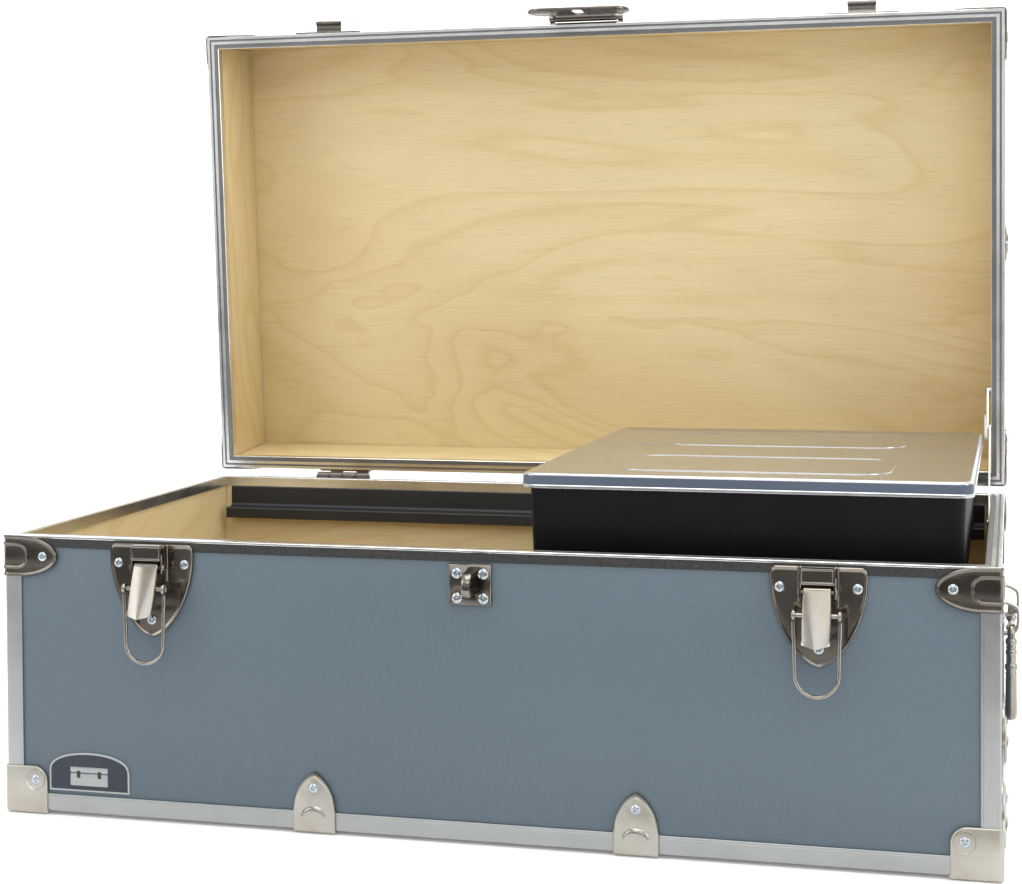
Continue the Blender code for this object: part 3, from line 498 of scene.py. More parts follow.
def fold(bm, radius, cuts=6):
    """Fold a flat stamping square over the case's edge at its x = 0, the edge standing upright."""
    half = radius * pi / 4
    for n in range(cuts + 1):
        bmesh.ops.bisect_plane(bm, geom=bm.verts[:] + bm.edges[:] + bm.faces[:], dist=1e-7,
                               plane_co=(-half + 2 * half * n / cuts, 0, 0), plane_no=(1, 0, 0))
    for vert in bm.verts:
        s, t, h = vert.co
        if s < -half:
            vert.co = (radius - s - half, -h, t)
        elif s > half:
            vert.co = (-h, radius + s - half, t)
        else:
            a = (s + half) / radius
            vert.co = (radius - (radius + h) * sin(a), radius - (radius + h) * cos(a), t)


UPRIGHT = Matrix(((1, 0, 0, 0), (0, 0, -1, 0), (0, 1, 0, 0), (0, 0, 0, 1)))


def on_wall(along=0.0, z=0.0, turns=0, reach=HALF_D):
    """A matrix that stands a flat stamping on the front wall, or on one some quarter turns on."""
    return turned_by(90 * turns) @ shift((along, -reach, z)) @ UPRIGHT


def on_corner(sx, sy, turns, z):
    return shift((sx * HALF_W, sy * HALF_D, z)) @ turned_by(90 * turns)


def link(name, mesh):
    obj = bpy.data.objects.new(name, mesh)
    bpy.context.scene.collection.objects.link(obj)
    return obj


def piece(name, bm, materials, matrix, body, replaces=(), sharp=38.0):
    """Turn a bmesh into a piece that rides on a body."""
    bmesh.ops.remove_doubles(bm, verts=bm.verts, dist=1e-7)
    bmesh.ops.recalc_face_normals(bm, faces=bm.faces)
    bm.transform(matrix)
    mesh = bpy.data.meshes.new(name)
    bm.to_mesh(mesh)
    bm.free()
    for material in materials:
        mesh.materials.append(material)
    mesh.shade_smooth()
    mesh.set_sharp_from_angle(angle=radians(sharp))
    obj = link(name, mesh)
    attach(obj, body)
    if replaces:
        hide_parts(*replaces)


def stamping(node, bm, matrix, body, materials=(DARK_NICKEL, ZINC), end="_stamping", sharp=38.0):
    """A nickel piece that takes the place of a CAD node."""
    piece(node + end, bm, materials, matrix, body, (node,), sharp)


# ---- boards
def make_board(node, body, matrix, outward, inside):
    """A board with laminate outside, birch inside and ply edges."""
    low, high = case_box(node, matrix)
    bm = bmesh.new()
    place = shift((low + high) / 2) @ Matrix.Diagonal((*(high - low), 1.0))
    bmesh.ops.create_cube(bm, size=1.0, matrix=place)
    bmesh.ops.bevel(bm, geom=bm.edges[:], offset=0.0005, segments=2, profile=0.5, affect="EDGES")
    for face in bm.faces:
        facing = face.normal.dot(Vector(outward))
        face.material_index = 0 if facing > 0.5 else 1 if facing < -0.5 else 2
    piece(node + "_panel", bm, (LAMINATE, inside, PLY_EDGE), matrix, body, (node,))


def make_boards():
    walls = (("front", (0, -1, 0)), ("back", (0, 1, 0)), ("left", (-1, 0, 0)), ("right", (1, 0, 0)))
    for prefix, body, matrix, *_ in HALVES:
        ends = BIRCH_Y if prefix == "base" else BIRCH_Z
        for name, outward in walls:
            inside = ends if outward[0] else BIRCH_X
            make_board(f"{prefix}_{name}_board", body, matrix, outward, inside)
    make_board("base_floor_board", "trunk", TRUNK, (0, 0, -1), BIRCH_X)
    make_board("lid_top_board", "lid", LID, (0, 0, 1), BIRCH_X)


# ---- rims and edging
def make_rims():
    """The grooved channels on the rims, their grooves in a dark copy of the metal that is painted shade; the
    base's outer flange has a pebbled skin.
    """
    profile = ((0.25, -9.5), (0.25, -1.9), (0.0, -1.5), (0.0, -0.35), (0.35, 0.0), (2.9, 0.0),
               (3.2, -0.6), (4.5, -0.6), (4.8, 0.0), (7.7, 0.0), (8.0, -0.6), (9.3, -0.6),
               (9.6, 0.0), (12.15, 0.0), (12.5, -0.35), (12.5, -9.5), (11.4, -9.5), (11.4, -1.2),
               (1.4, -1.2), (1.4, -9.5))
    bright, dark, outer = 0, 1, 2
    finish = [bright] * len(profile)
    finish[0] = outer
    # the grooves' faces take the dark finish: painted shade in the grooves
    for n in (5, 6, 7, 10, 11, 12):
        finish[n] = dark
    for prefix, body, matrix, up, _, rim in HALVES:
        bm = bmesh.new()
        swept_frame(bm, profile, rim, up, finish)
        node = prefix + "_rim_channel"
        finishes = (BRIGHT_RIM, GROOVE_PAINTED_SHADE, HAMMERED if prefix == "base" else ALUMINIUM)
        piece(node + "_extrusion", bm, finishes, matrix, body, (node,), 25.0)


def angle_profile(leg):
    """An angle's section (mm) with a round corner and a bead along both free edges."""
    corner = arc((2.0, 2.0), 2.0, 270, 180, 6)
    bead = ((leg, 0.9), (leg, 0.25), (leg - 0.3, 0.0), (leg - 1.3, 0.0), (leg - 1.5, 0.22),
            (leg - 2.0, 0.22), (leg - 2.2, 0.0))
    other = [(b, a) for a, b in reversed(bead)]
    return [*bead, *corner, *other, (1.2, leg), (1.2, 1.2), (leg, 1.2)]


def make_edging():
    """Angle extrusions round the closed end and up the corners, for the base and for the lid."""
    profile = angle_profile(TRIM_LEG * 1000)
    for prefix, body, matrix, up, end, rim in HALVES:
        bm = bmesh.new()
        swept_frame(bm, profile, end, up, [0] * len(profile))
        low, high = sorted((end + up * (TRIM_LEG - 0.0004), rim - up * (RIM_LEG + 0.0004)))
        for _, sx, sy, _ in CORNERS:
            def place(a, b, run, sx=sx, sy=sy):
                return (sx * (HALF_W - a * 0.001), sy * (HALF_D - b * 0.001), run)
            extruded(bm, profile, low, high, place)
        node = prefix + "_edge_trim"
        piece(node + "_extrusion", bm, (ALUMINIUM,), matrix, body, (node,), 20.0)


# ---- caps and clamps
ROLLED = ((0, -1.2), (0, 0.7), (0.3, 1.35), (0.9, 1.75), (1.5, 1.7), (2.3, 1.15), (3.2, 0.95))
BEAD = ((0, 0.6), (0.2, 1.5), (0.8, 1.95), (1.4, 1.95), (2.2, 1.35), (3.0, 1.2))


def leaf_outline(reach, half, steps=22):
    """A leaf's outline, pointed and rounded at both ends."""
    def width(share):
        taper = max(share - 0.3, 0.0) / 0.7
        return half * sqrt(max(1 - taper ** 1.9, 0.0))

    shares = [sin(pi / 2 * n / steps) for n in range(steps + 1)]
    upper = [(reach * s, width(s)) for s in shares]
    right = [(x, -y) for x, y in upper[:-1]] + upper[::-1]
    left = [(-x, y) for x, y in upper[1:]]
    return right + left + [(x, -y) for x, y in reversed(left[:-1])]


def make_rim_caps():
    """Leaf-shaped caps on the corners of the base's and the lid's rims, in a darker copy of the nickel that
    is painted shade.
    """
    # the rim caps take the darker copy of the nickel: painted shade
    finishes = (SHADED_CAP_NICKEL, ZINC)
    for name, *corner in CORNERS:
        for prefix, body, matrix, up, _, rim in HALVES:
            bm = bmesh.new()
            pad(bm, leaf_outline(0.0478, 0.0171), ROLLED)
            pad(bm, rounded(0.044, 0.0222, 0.01), BEAD)
            for sign in BOTH:
                screw(bm, sign * 0.0347, 0.0, 30.0 * sign)
            fold(bm, 0.0022)
            node = f"{prefix}_rim_cap_{name}"
            place = matrix @ on_corner(*corner, rim - up * 0.0172)
            piece(node + "_stamping", bm, finishes, place, body, (node,) if up > 0 else ())


def corner_cap_mesh(reach=0.0365, tall=0.0375):
    """A corner cap: two walls folded round the upright edge and a plate over the end."""
    bm = bmesh.new()
    r, below = 0.0125, -0.0016
    outline = [(-reach, below), (reach, below)]
    outline += arc((reach - r, tall - r), r, 0, 90, 8) + arc((-reach + r, tall - r), r, 90, 180, 8)
    pad(bm, outline, ((0, -1.2), (0, 0.9), (0.4, 1.4), (1.1, 1.66)))
    dimple = ((0, 1.2), (0.5, 2.35), (1.0, 2.45), (1.9, 1.25))
    for sign in BOTH:
        pad(bm, arc((sign * (reach - 0.0105), 0.0262), 0.0092, 0, 350, 35), dimple)
        screw(bm, sign * (reach - 0.0105), 0.0262, 25.0 * sign, 1.1, 0.0041)
    fold(bm, 0.0028)
    end = bmesh.new()
    plate = [(0.0, reach)] + arc((0.003, 0.003), 0.003, 180, 270, 5) + [(reach, 0.0)]
    plate += arc((reach - 0.012, reach - 0.012), 0.012, 0, 90, 8)
    pad(end, plate, ((-1.4, 1.2), (-1.4, -0.6), (-0.9, -1.3), (0.0, -1.68)))
    join(bm, end)
    return bm


def make_corner_caps():
    """Three-way caps on the base's feet, bright in a lighter copy of the nickel that is painted light, and on
    the lid's top corners, darker.
    """
    for name, *corner in CORNERS:
        stamping("base_foot_cap_" + name, corner_cap_mesh(), TRUNK @ on_corner(*corner, FOOT), "trunk",
                 (LIT_NICKEL, ZINC))
        bm = corner_cap_mesh()
        bm.transform(FLIP)
        stamping("lid_top_cap_" + name, bm, LID @ on_corner(*corner, LID_TOP), "lid")


def mirrored_shares(steps):
    """Shares that rise from 0 to 1 and fall back, close together at 1, each with its side."""
    for n in range(2 * steps + 1):
        yield sin(pi / 2 * (n / steps if n <= steps else 2 - n / steps)), 1 if n <= steps else -1


def arch_outline(half, rise, under, shoulder):
    """A clamp's outline: square at the folded end, straight sides, then an arch to a point."""
    outline = [(under, -half), (under, half), (-shoulder, half)]
    for share, side in mirrored_shares(14):
        width = (half - 0.0006) * (1 - share ** 1.9) ** 0.72
        outline.append((-shoulder - 0.0008 - (rise - shoulder - 0.0008) * share, side * width))
    return outline + [(-shoulder, -half)]


def brow(bm, high):
    """A raised crescent whose outer side slopes and whose inner side drops like a louvre."""
    rings = []
    for n in range(19):
        a = radians(6 + 168 * n / 18)
        out = Vector((-sin(a), -cos(a)))
        centre = Vector((-0.0102 - 0.0075 * sin(a), -0.0102 * cos(a)))
        slim = sin(a) ** 0.6
        ring = []
        for share, lift in ((-1, -0.5), (-1, 0.75), (-0.7, 1.0), (-0.1, 0.95), (0.5, 0.6), (1, 0), (1, -0.5)):
            place = centre + out * (0.0019 * slim * share)
            height = high + 1.8 * lift * slim if lift > 0 else high + lift
            ring.append((place.x, place.y, height * 0.001))
        rings.append(ring_of(bm, ring))
    close(bm, rings, 2)


def clamp_mesh(high, rise=0.0465, under=0.0168):
    """A clamp: an arched leaf up the wall, a square tongue over the end, a brow and a screw."""
    half, shoulder, border = 0.0183, 0.0165, 0.0022
    bm = bmesh.new()
    pad(bm, arch_outline(half, rise, under, shoulder),
        ((0, -1.2), (0, high - 2.0), (0.3, high - 1.5), (0.7, high - 1.4)), 2)
    pad(bm, arch_outline(half - 0.0004, rise - border, under - 0.0004, shoulder + 0.0005),
        ((0, high - 2.2), (0.1, high - 1.2), (0.5, high - 0.35), (1.0, high)))
    brow(bm, high)
    screw(bm, -0.0342, 0.0, 35.0, high)
    fold(bm, 0.0024)
    bm.transform(Matrix(((0, 0, -1, 0), (0, 1, 0, 0), (1, 0, 0, 0), (0, 0, 0, 1))))
    return bm


def make_clamps():
    """Two clamps a side round the bottom edges, and the lid's own round its top edges."""
    low, high = case_box("edge_clamp_front_right")
    spread = (low.x + high.x) / 2
    for turns, (wall, order) in enumerate((("front", 1), ("right", 1), ("back", -1), ("left", -1))):
        at_end = turns % 2
        depth, ends = (HALF_W, ("front", "back")) if at_end else (HALF_D, ("left", "right"))
        for end, sign in zip(ends, (-order, order)):
            spot = turned_by(90 * turns) @ shift((sign * spread, -depth, FOOT))
            # the base's clamps take the lighter copy of the nickel: painted light
            stamping(f"edge_clamp_{wall}_{end}", clamp_mesh(2.65), TRUNK @ spot, "trunk",
                     (LIT_NICKEL, ZINC, LEVER_NICKEL))
            if end == "back":
                continue
            top = turned_by(90 * turns) @ shift((0.0 if at_end else sign * spread, -depth, LID_TOP))
            bm = clamp_mesh(1.7, 0.04)
            bm.transform(FLIP)
            name = f"lid_clamp_{wall}" if at_end else f"lid_clamp_{wall}_{end}"
            piece(name + "_stamping", bm, (DARK_NICKEL, ZINC, LEVER_NICKEL), LID @ top, "lid")


# ---- draw latches

def shield_outline(tall, width=0.0735):
    """A shield: round shoulders, sides that curve in to a rounded point."""
    half, shoulder, r = width / 2, 0.012, 0.005
    outline = arc((half - r, -r), r, 0, 90, 5) + arc((-half + r, -r), r, 90, 180, 5)
    for share, side in mirrored_shares(20):
        width_here = half * (1 - share ** 1.75) ** 0.62
        outline.append((-side * width_here, -shoulder - (tall - shoulder) * share))
    return outline


def make_latch_plate(side, x):
    """The shield plate with its hood, ears, axle rivets and three screws."""
    node = "latch_plate_" + side
    low, high = case_box(node)
    axle = TRUNK.inverted() @ pivot("latch_lever_" + side)
    deep = axle.z - high.z
    bm = bmesh.new()
    pad(bm, shield_outline(high.z - low.z), ROLLED)
    for sign in BOTH:
        screw(bm, sign * 0.0292, deep + 0.0018, 25.0 * sign + 10)
    screw(bm, 0.0, deep - 0.0447, 50.0)
    reach = (high.y - low.y - 0.0013 - SUNK) * 1000
    hood = rounded(0.0272, 0.0128, 0.0026, (0.0, deep + 0.0118))
    pad(bm, hood, ((0, 0.5), (0, reach - 0.9), (0.3, reach - 0.25), (0.9, reach), (1.5, reach - 0.05),
                   (2.3, reach - 0.7)))
    for sign in BOTH:
        rib = rounded(0.0022, 0.03, 0.001, (sign * 0.0147, deep + 0.003))
        pad(bm, rib, ((0, 0.5), (0, 2.6), (0.3, 3.2), (0.7, 3.4)))
        ear = rounded(0.002, 0.016, 0.0009, (sign * 0.0132, deep + 0.003))
        pad(bm, ear, ((0, 0.5), (0, reach - 1.2), (0.5, reach - 0.7)))
    bm.transform(on_wall(x, high.z))
    dome = ((0, 0.003), (0.35, 0.003), (0.75, 0.0023), (1, 0.001))
    for sign in BOTH:
        along_x(bm, axle, x + sign * 0.0138, x + sign * 0.0158, dome)
    along_x(bm, axle, x - 0.0138, x + 0.0138, barrel(0.0015))
    stamping(node, bm, TRUNK, "trunk")


def make_latch_lever(side):
    """The pressed lever: flat at its top, folded to a keel that ends in a gable."""
    node = "latch_lever_" + side
    long, drop, half = 0.0455, 0.0038, 0.0104
    bm = bmesh.new()
    rings = []
    steps = 18
    for n in range(steps + 1):
        q = n / steps
        wide = half + 0.0006 * sin(pi * q)
        crease = (half - 0.0012) * (1 - q) ** 0.8 + 0.0007
        front, edge = -(0.004 + 0.0011 * q), -(0.004 - 0.0016 * q)
        back = 0.0036 - 0.004 * q if q < 0.75 else 0.0006 - 0.014 * (q - 0.75)
        across = ((-wide, back), (-wide, edge + 0.0009), (-wide + 0.0005, edge), (-crease, front),
                  (crease, front), (wide - 0.0005, edge), (wide, edge + 0.0009), (wide, back))
        rings.append(ring_of(bm, [
            (px, py, 0.0006 - (long - drop) * q - drop * q * (1 - abs(px) / wide)) for px, py in across]))
    close(bm, rings)
    turned(bm, (-half, 0, 0), (half, 0, 0), barrel(0.0041, 0.0036, 0.02))
    pin = turned_by(LEVER_OPEN, "X") @ (pivot("latch_bail_" + side) - pivot(node))
    along_x(bm, pin, -0.0188, 0.0188, barrel(0.0019, 0.001, 0.015))
    stamping(node, bm, about(pivot(node), -LEVER_OPEN) @ shift(pivot(node)), "lever_" + side,
             (LEVER_NICKEL,), "_pressing", 24.0)


def make_latch_bail(side):
    """The wire bail: eyes curled round the cross pin, legs that draw in a little, a round end."""
    node = "latch_bail_" + side
    wire, top, low = 0.00165, 0.0174, 0.0164
    middle = -(pivot(node).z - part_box(node)[0].z - low - wire)
    leg = [(-top, 0, -0.0045), (-top, 0, -0.012), (-(top + low) / 2, 0, middle / 2), (-low, 0, middle)]
    bend = [(p.x, 0, p.y) for p in arc((0, middle), low, 192, 348, 12)]
    bm = bmesh.new()
    tube(bm, flowing(leg + bend + [(-x, y, z) for x, y, z in leg[::-1]], 4), wire, 14)
    for sign in BOTH:
        rings = []
        for a in (tau * n / 20 for n in range(20)):
            place = Vector((sign * (top - 0.0002), 0.0031 * sin(a), -0.0031 * cos(a)))
            out = Vector((0, place.y, place.z)).normalized()
            rings.append(ring_of(bm, [place + out * cos(b) * 0.00125 + Vector((sin(b) * 0.0017, 0, 0))
                                      for b in (tau * k / 10 for k in range(10))]))
        skin(bm, rings + [rings[0]])
    stamping(node, bm, shift(pivot(node)), "bail_" + side, (LEVER_NICKEL,), "_wire", 60.0)


def make_lid_catch(side, x):
    """The lid's catch: a flange with rolled edges and a round-headed block for the bail."""
    node = "lid_catch_" + side
    low, high = case_box(node, LID)
    half, tall = (high.x - low.x) / 2, high.z - low.z
    bm = bmesh.new()
    outline = [(-half, 0), (half, 0)] + arc((half - 0.012, tall - 0.006), 0.006, 20, 90, 5)
    pad(bm, outline + arc((-half + 0.012, tall - 0.006), 0.006, 90, 160, 5), ROLLED)
    for sign in BOTH:
        screw(bm, sign * 0.0245, 0.0105, 30.0 * sign)
    reach = (high.y - low.y - SUNK) * 1000 - 0.5
    pad(bm, arc((0, 0.0023), 0.0141, 5, 175, 22),
        ((0, 0.5), (0.5, 3.0), (0.6, reach - 5.2), (0.1, reach - 3.0), (0.0, reach - 1.4),
         (0.5, reach - 0.5), (1.6, reach)))
    bm.transform(on_wall(x, low.z))
    stamping(node, bm, LID, "lid")


def make_latches():
    for side, sign in SIDES:
        x = sign * pivot("latch_lever_right").x
        make_latch_plate(side, x)
        make_latch_lever(side)
        make_latch_bail(side)
        make_lid_catch(side, x)


# ---- staple and hasp
def make_staple():
    """The padlock staple: a plate with four screws and a strap bent to a loop."""
    low, high = case_box("padlock_staple")
    half, tall = (high.x - low.x) / 2, high.z - low.z
    bm = bmesh.new()
    foot = -tall / 2 + 0.0012
    outline = [(half, tall / 2), (-half, tall / 2), (-half, foot)]
    outline += [(x, foot - 0.0012 * cos(x / half * pi / 2)) for x in (-half * 0.6, 0.0, half * 0.6)]
    outline += [(half, foot)]
    pad(bm, outline, ((0, -1.2), (0, 0.9), (0.3, 1.5), (0.8, 1.75), (1.4, 1.6), (2.2, 1.2)))
    for sx in BOTH:
        for sy in BOTH:
            screw(bm, sx * 0.0108, sy * 0.0098 - 0.0008, 15.0 + 30 * sx * sy, 1.2, 0.0042)
    out = -(low.y + HALF_D)
    reach = [(0.0, 0.0106), (0.0018, 0.0104), (0.55 * out, 0.0094), (out - 0.0034, 0.0074),
             (out - 0.0013, 0.004), (out - 0.0009, 0.0)]
    path = flowing([(0, y, h) for h, y in reach] + [(0, -y, h) for h, y in reversed(reach[:-1])], 4)
    strap(bm, path, Vector((1, 0, 0)), (0.0034, 0.00057), (0.00272, 0.00095))
    bm.transform(on_wall(0.0, (low.z + high.z) / 2))
    stamping("padlock_staple", bm, TRUNK, "trunk")


def make_hasp():
    """The hasp: its base on the lid, the barrel, and the flap with a rolled stadium edge."""
    low, high = case_box("hasp_base", LID)
    hinge = LID.inverted() @ pivot("hasp_hinge")
    half, tall = (high.x - low.x) / 2, high.z - low.z
    bm = bmesh.new()
    pad(bm, rounded(2 * half, tall, 0.004, (0.0, tall / 2)), ROLLED)
    for sx in BOTH:
        screw(bm, sx * (half - 0.008), tall - 0.008, 25.0 * sx)
    screw(bm, 0.0, tall - 0.008, 60.0)
    bm.transform(on_wall(0.0, low.z))
    neck = 0.0322
    shelf = rounded(half - neck, 0.0011, 0.0004)
    for sign in BOTH:
        along_x(bm, hinge, sign * neck, sign * half, barrel(0.0035, 0.003, 0.06))
        extruded(bm, shelf, hinge.y, -HALF_D - 0.001,
                 lambda a, b, run, x=sign * (neck + half) / 2: (x + a, run, hinge.z + 0.0029 + b))
    along_x(bm, hinge, -half + 0.001, half - 0.001, barrel(0.0015))
    stamping("hasp_base", bm, LID, "lid")
    make_hasp_flap(hinge)


def make_hasp_flap(hinge):
    low, high = case_box("hasp_flap", HASP)
    wide, tall, thick = high.x - low.x, 0.032, 1.25
    middle = low.z + tall / 2
    bm = bmesh.new()
    tab = rounded(wide, tall, tall / 2 - 0.0001, steps=9)
    slot = rounded(0.01, 0.024, 0.0022, steps=7)
    rings = stacked(bm, tab, ((0.35, -thick), (0, -thick + 0.5), (0, thick - 0.5), (0.35, thick),
                              (1.4, thick), (2.0, thick - 0.5), (2.8, thick - 0.7)))
    skin(bm, rings)
    lower, upper = stacked(bm, slot, ((0, -thick), (0, thick - 0.7)))
    skin(bm, (lower, upper))
    for big, small in ((rings[-1], upper), (rings[0], lower)):
        edges = [bm.edges.get((a, b)) for ring in (big, small) for a, b in zip(ring, ring[1:] + ring[:1])]
        bmesh.ops.triangle_fill(bm, use_beauty=True, edges=edges)
    neck_low = middle + tall / 2 - 0.003
    neck_middle = (0, (hinge.z + neck_low) / 2 - middle)
    neck = rounded(0.062, hinge.z - neck_low, 0.001, neck_middle)
    pad(bm, neck, ((0.2, -1.0), (0, -0.8), (0, 0.8), (0.2, 1.0)))
    pad(bm, rounded(0.046, 0.0085, 0.003, neck_middle), ((0, 0.5), (0.5, 1.7), (1.4, 2.0)))
    bm.transform(shift((0, hinge.y, middle)) @ UPRIGHT)
    along_x(bm, hinge, -0.0316, 0.0316, barrel(0.0035, 0.0031, 0.02))
    stamping("hasp_flap", bm, HASP, "hasp", (DARK_NICKEL,))


# ---- hinges, stay and handles
def make_hinges():
    """Butt hinges: leaves with three screws, and the knuckles that share the pin."""
    axis = TRUNK.inverted() @ pivot("lid_hinge")
    wide = 0.057
    pitch = wide / 4
    for side, _ in SIDES:
        for leaf, body, matrix, down, *_ in HALVES:
            up = -down
            node = f"{leaf}_hinge_leaf_{side}"
            low, high = case_box(node, matrix)
            middle = (low.x + high.x) / 2
            first = middle - wide / 2
            tall = axis.z - low.z if up < 0 else high.z - axis.z
            centre = up * (0.005 + tall) / 2
            bm = bmesh.new()
            pad(bm, rounded(wide, tall - 0.005, 0.003, (0, centre)),
                ((0, 0.3), (0, 1.9), (0.3, 2.25), (0.8, 2.3)))
            for n in (-1, 0, 1):
                screw(bm, n * 0.019, centre - up * (0.004 if n else -0.006), 30.0 * n, 2.2, 0.0036)
            bm.transform(on_wall(-middle, axis.z, 2))
            for n in range(0 if leaf == "base" else 1, 4, 2):
                a, b = first + n * pitch + 0.0002, first + (n + 1) * pitch - 0.0002
                along_x(bm, axis, a, b, barrel(0.0042, 0.0037, 0.03))
                web = shift(((a + b) / 2, HALF_D + 0.0013, axis.z + up * 0.003))
                web = web @ Matrix.Diagonal((b - a, 0.0018, 0.006, 1.0))
                bmesh.ops.create_cube(bm, size=1.0, matrix=web)
            if leaf == "base":
                along_x(bm, axis, first - 0.001, first + wide + 0.001, barrel(0.0017, 0.0013, 0.01))
            stamping(node, bm, matrix, body)


def link_bar(a, b, half):
    """A flat bar's outline in y and z, with round ends at a and b."""
    way = degrees(atan2(b.z - a.z, b.y - a.y))
    return arc((b.y, b.z), half, way - 90, way + 90, 10) + arc((a.y, a.z), half, way + 90, way + 270, 10)


def make_stay():
    """The folding stay: two links, a rivet at each anchor and a nylon block at the elbow."""
    foot, head = pivot("stay_lower_pivot"), pivot("stay_upper_pivot")
    elbow = foot + (head - foot) * 0.714
    out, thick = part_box("lid_stay_lower_link")[1].x, 0.0015
    rivet = ((0, 0.005), (0.55, 0.005), (0.56, 0.0034), (0.85, 0.0034), (0.95, 0.0026), (1, 0.001))
    for name, start, half, x in (("lower", foot, 0.004, foot.x), ("upper", head, 0.0048, foot.x - 0.002)):
        node = f"lid_stay_{name}_link"
        bm = bmesh.new()
        pad(bm, link_bar(start, elbow, half), ((0.2, 0), (0, 0.2), (0, 1.2), (0.3, 1.5)))
        if name == "upper":
            pad(bm, link_bar(start, elbow, half * 0.42), ((0, 1.0), (0.3, 1.9), (0.8, 2.0)))
        turn = Matrix(((0, 0, -1, x), (1, 0, 0, 0), (0, 1, 0, 0), (0, 0, 0, 1)))
        bm.transform(turn)
        along_x(bm, start, out, x - thick - 0.0016, rivet, 1)
        if name == "upper":
            along = (elbow - start).normalized()
            block = bmesh.new()
            pad(block, link_bar(elbow - along * 0.008, elbow + along * 0.009, 0.0058),
                ((0.4, 0.9), (0, 1.4), (0, 3.4), (0.5, 4.0)))
            block.transform(turn)
            join(bm, block, 2)
        piece(node + "_bar", bm, (BRIGHT_RIM, ZINC, WHITE_NYLON), AS_DRAWN, "stay_" + name,
              (node,))


def make_handles():
    """Each side's handle: a bracket with two looped lugs, and a U-shaped bar with a thicker grip."""
    for side, sign in SIDES:
        axis = pivot("handle_" + side)
        node = "handle_bracket_" + side
        low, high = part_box(node)
        wide, tall = high.y - low.y, high.z - low.z
        board, reach = HALF_W - BOARD_IN, abs(axis.x)
        bm = bmesh.new()
        pad(bm, rounded(wide, tall, 0.006), ((0, 0.3), (0, 1.1), (0.4, 1.6), (1.0, 1.8), (1.8, 1.6)))
        for n in BOTH:
            screw(bm, n * 0.015, tall / 2 - 0.0075, 30.0 * n, 1.5, 0.004)
            screw(bm, n * 0.015, -tall / 2 + 0.0075, -20.0 * n, 1.5, 0.004)
        middle = (low + high) / 2
        bm.transform(shift((0, middle.y, middle.z)) @ on_wall(0.0, 0.0, 2 - sign, board))
        loop = [(board + 0.001, 0.0205), (board + 0.005, 0.0195), (reach + 0.003, 0.0165),
                (reach + 0.0052, 0.013), (reach + 0.0056, 0.004), (reach + 0.004, -0.003),
                (reach - 0.0018, -0.0054), (board + 0.001, -0.0066)]
        for n in BOTH:
            path = flowing([(sign * x, axis.y + n * 0.043, axis.z + z) for x, z in loop], 4)
            strap(bm, path, Vector((0, 1, 0)), (0.0052, 0.0006), (0.0046, 0.00108))
        # the bracket takes the lighter copy of the nickel: painted light
        stamping(node, bm, AS_DRAWN, "trunk", (LIT_NICKEL, ZINC))
        make_handle_bar(side, axis)


def make_handle_bar(side, axis):
    node = "handle_bail_" + side
    drop = axis.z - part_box(node)[0].z - 0.005
    half, bend, rod, grip, rise = 0.054, 0.016, 0.0031, 0.0049, 0.04
    corner = [(p.x, p.y) for p in arc((-half + bend, -drop + bend), bend, 180, 270, 8)]
    arm = [(-0.0355, 0.0), (-0.05, 0.0), (-0.0528, -0.0012), (-half, -0.004), (-half, -0.016),
           (-half, -drop + rise)]
    bm = bmesh.new()
    for left, radius, sides in (
            (arm + corner, rod, 14),
            ([(-half, -drop + rise + 0.001)] + corner,
             lambda share: grip - 0.0007 * abs(2 * share - 1) ** 6, 18)):
        route = [Vector((0, y, z)) for y, z in left] + [Vector((0, -y, z)) for y, z in left[::-1]]
        tube(bm, route, radius, sides)
    profile = ((0, 0.0037), (0.15, 0.005), (0.5, 0.005), (0.6, 0.0042), (0.75, 0.0042),
               (0.85, 0.0048), (1, 0.0036))
    for sign in BOTH:
        collar = Vector((0, sign * half, -drop + rise))
        turned(bm, collar + Vector((0, 0, 0.006)), collar - Vector((0, 0, 0.004)), profile)
        for top in (-0.008, -0.017):
            turned(bm, (0, sign * half, top), (0, sign * half, top - 0.005), barrel(0.0046, 0.0036, 0.3))
    stamping(node, bm, shift(axis), "handle_" + side, (LEVER_NICKEL,), "_bar", 45.0)


# ---- tray
def make_rails():
    """The black rails: a back web with a rounded head and a ledge with a raised lip."""
    ledge, web, r = 0.011, 0.003, 0.0009
    for end, sign in (("front", -1), ("back", 1)):
        node = "tray_rail_" + end
        low, high = case_box(node)
        deep, tall = high.y - low.y, high.z - low.z
        profile = [(0, 0), (0, tall - r), (r, tall), (web - r, tall), (web, tall - r),
                   (web, ledge + 0.003), (web + 0.0012, ledge + 0.0009), (web + 0.003, ledge),
                   (deep - r, ledge), (deep, ledge - r), (deep, r), (deep - r, 0)]
        wall = sign * (HALF_D - RAIL_IN)
        bm = bmesh.new()
        extruded(bm, profile, low.x, high.x,
                 lambda a, b, run, w=wall, s=sign, z=low.z: (run, w - s * a, z + b))
        piece(node + "_extrusion", bm, (BLACK_PLASTIC,), TRUNK, "trunk", (node,), 20.0)


def box_rings(bm, low, high, radius, stations):
    """Rings of a rounded rectangle between two corners, at each (z, distance inward)."""
    rings = []
    for z, inward in stations:
        outline = rounded(high.x - low.x - 2 * inward, high.y - low.y - 2 * inward,
                          max(radius - inward, 0.001), ((low.x + high.x) / 2, (low.y + high.y) / 2), 6)
        rings.append(ring_of(bm, [(p.x, p.y, z) for p in outline]))
    return rings


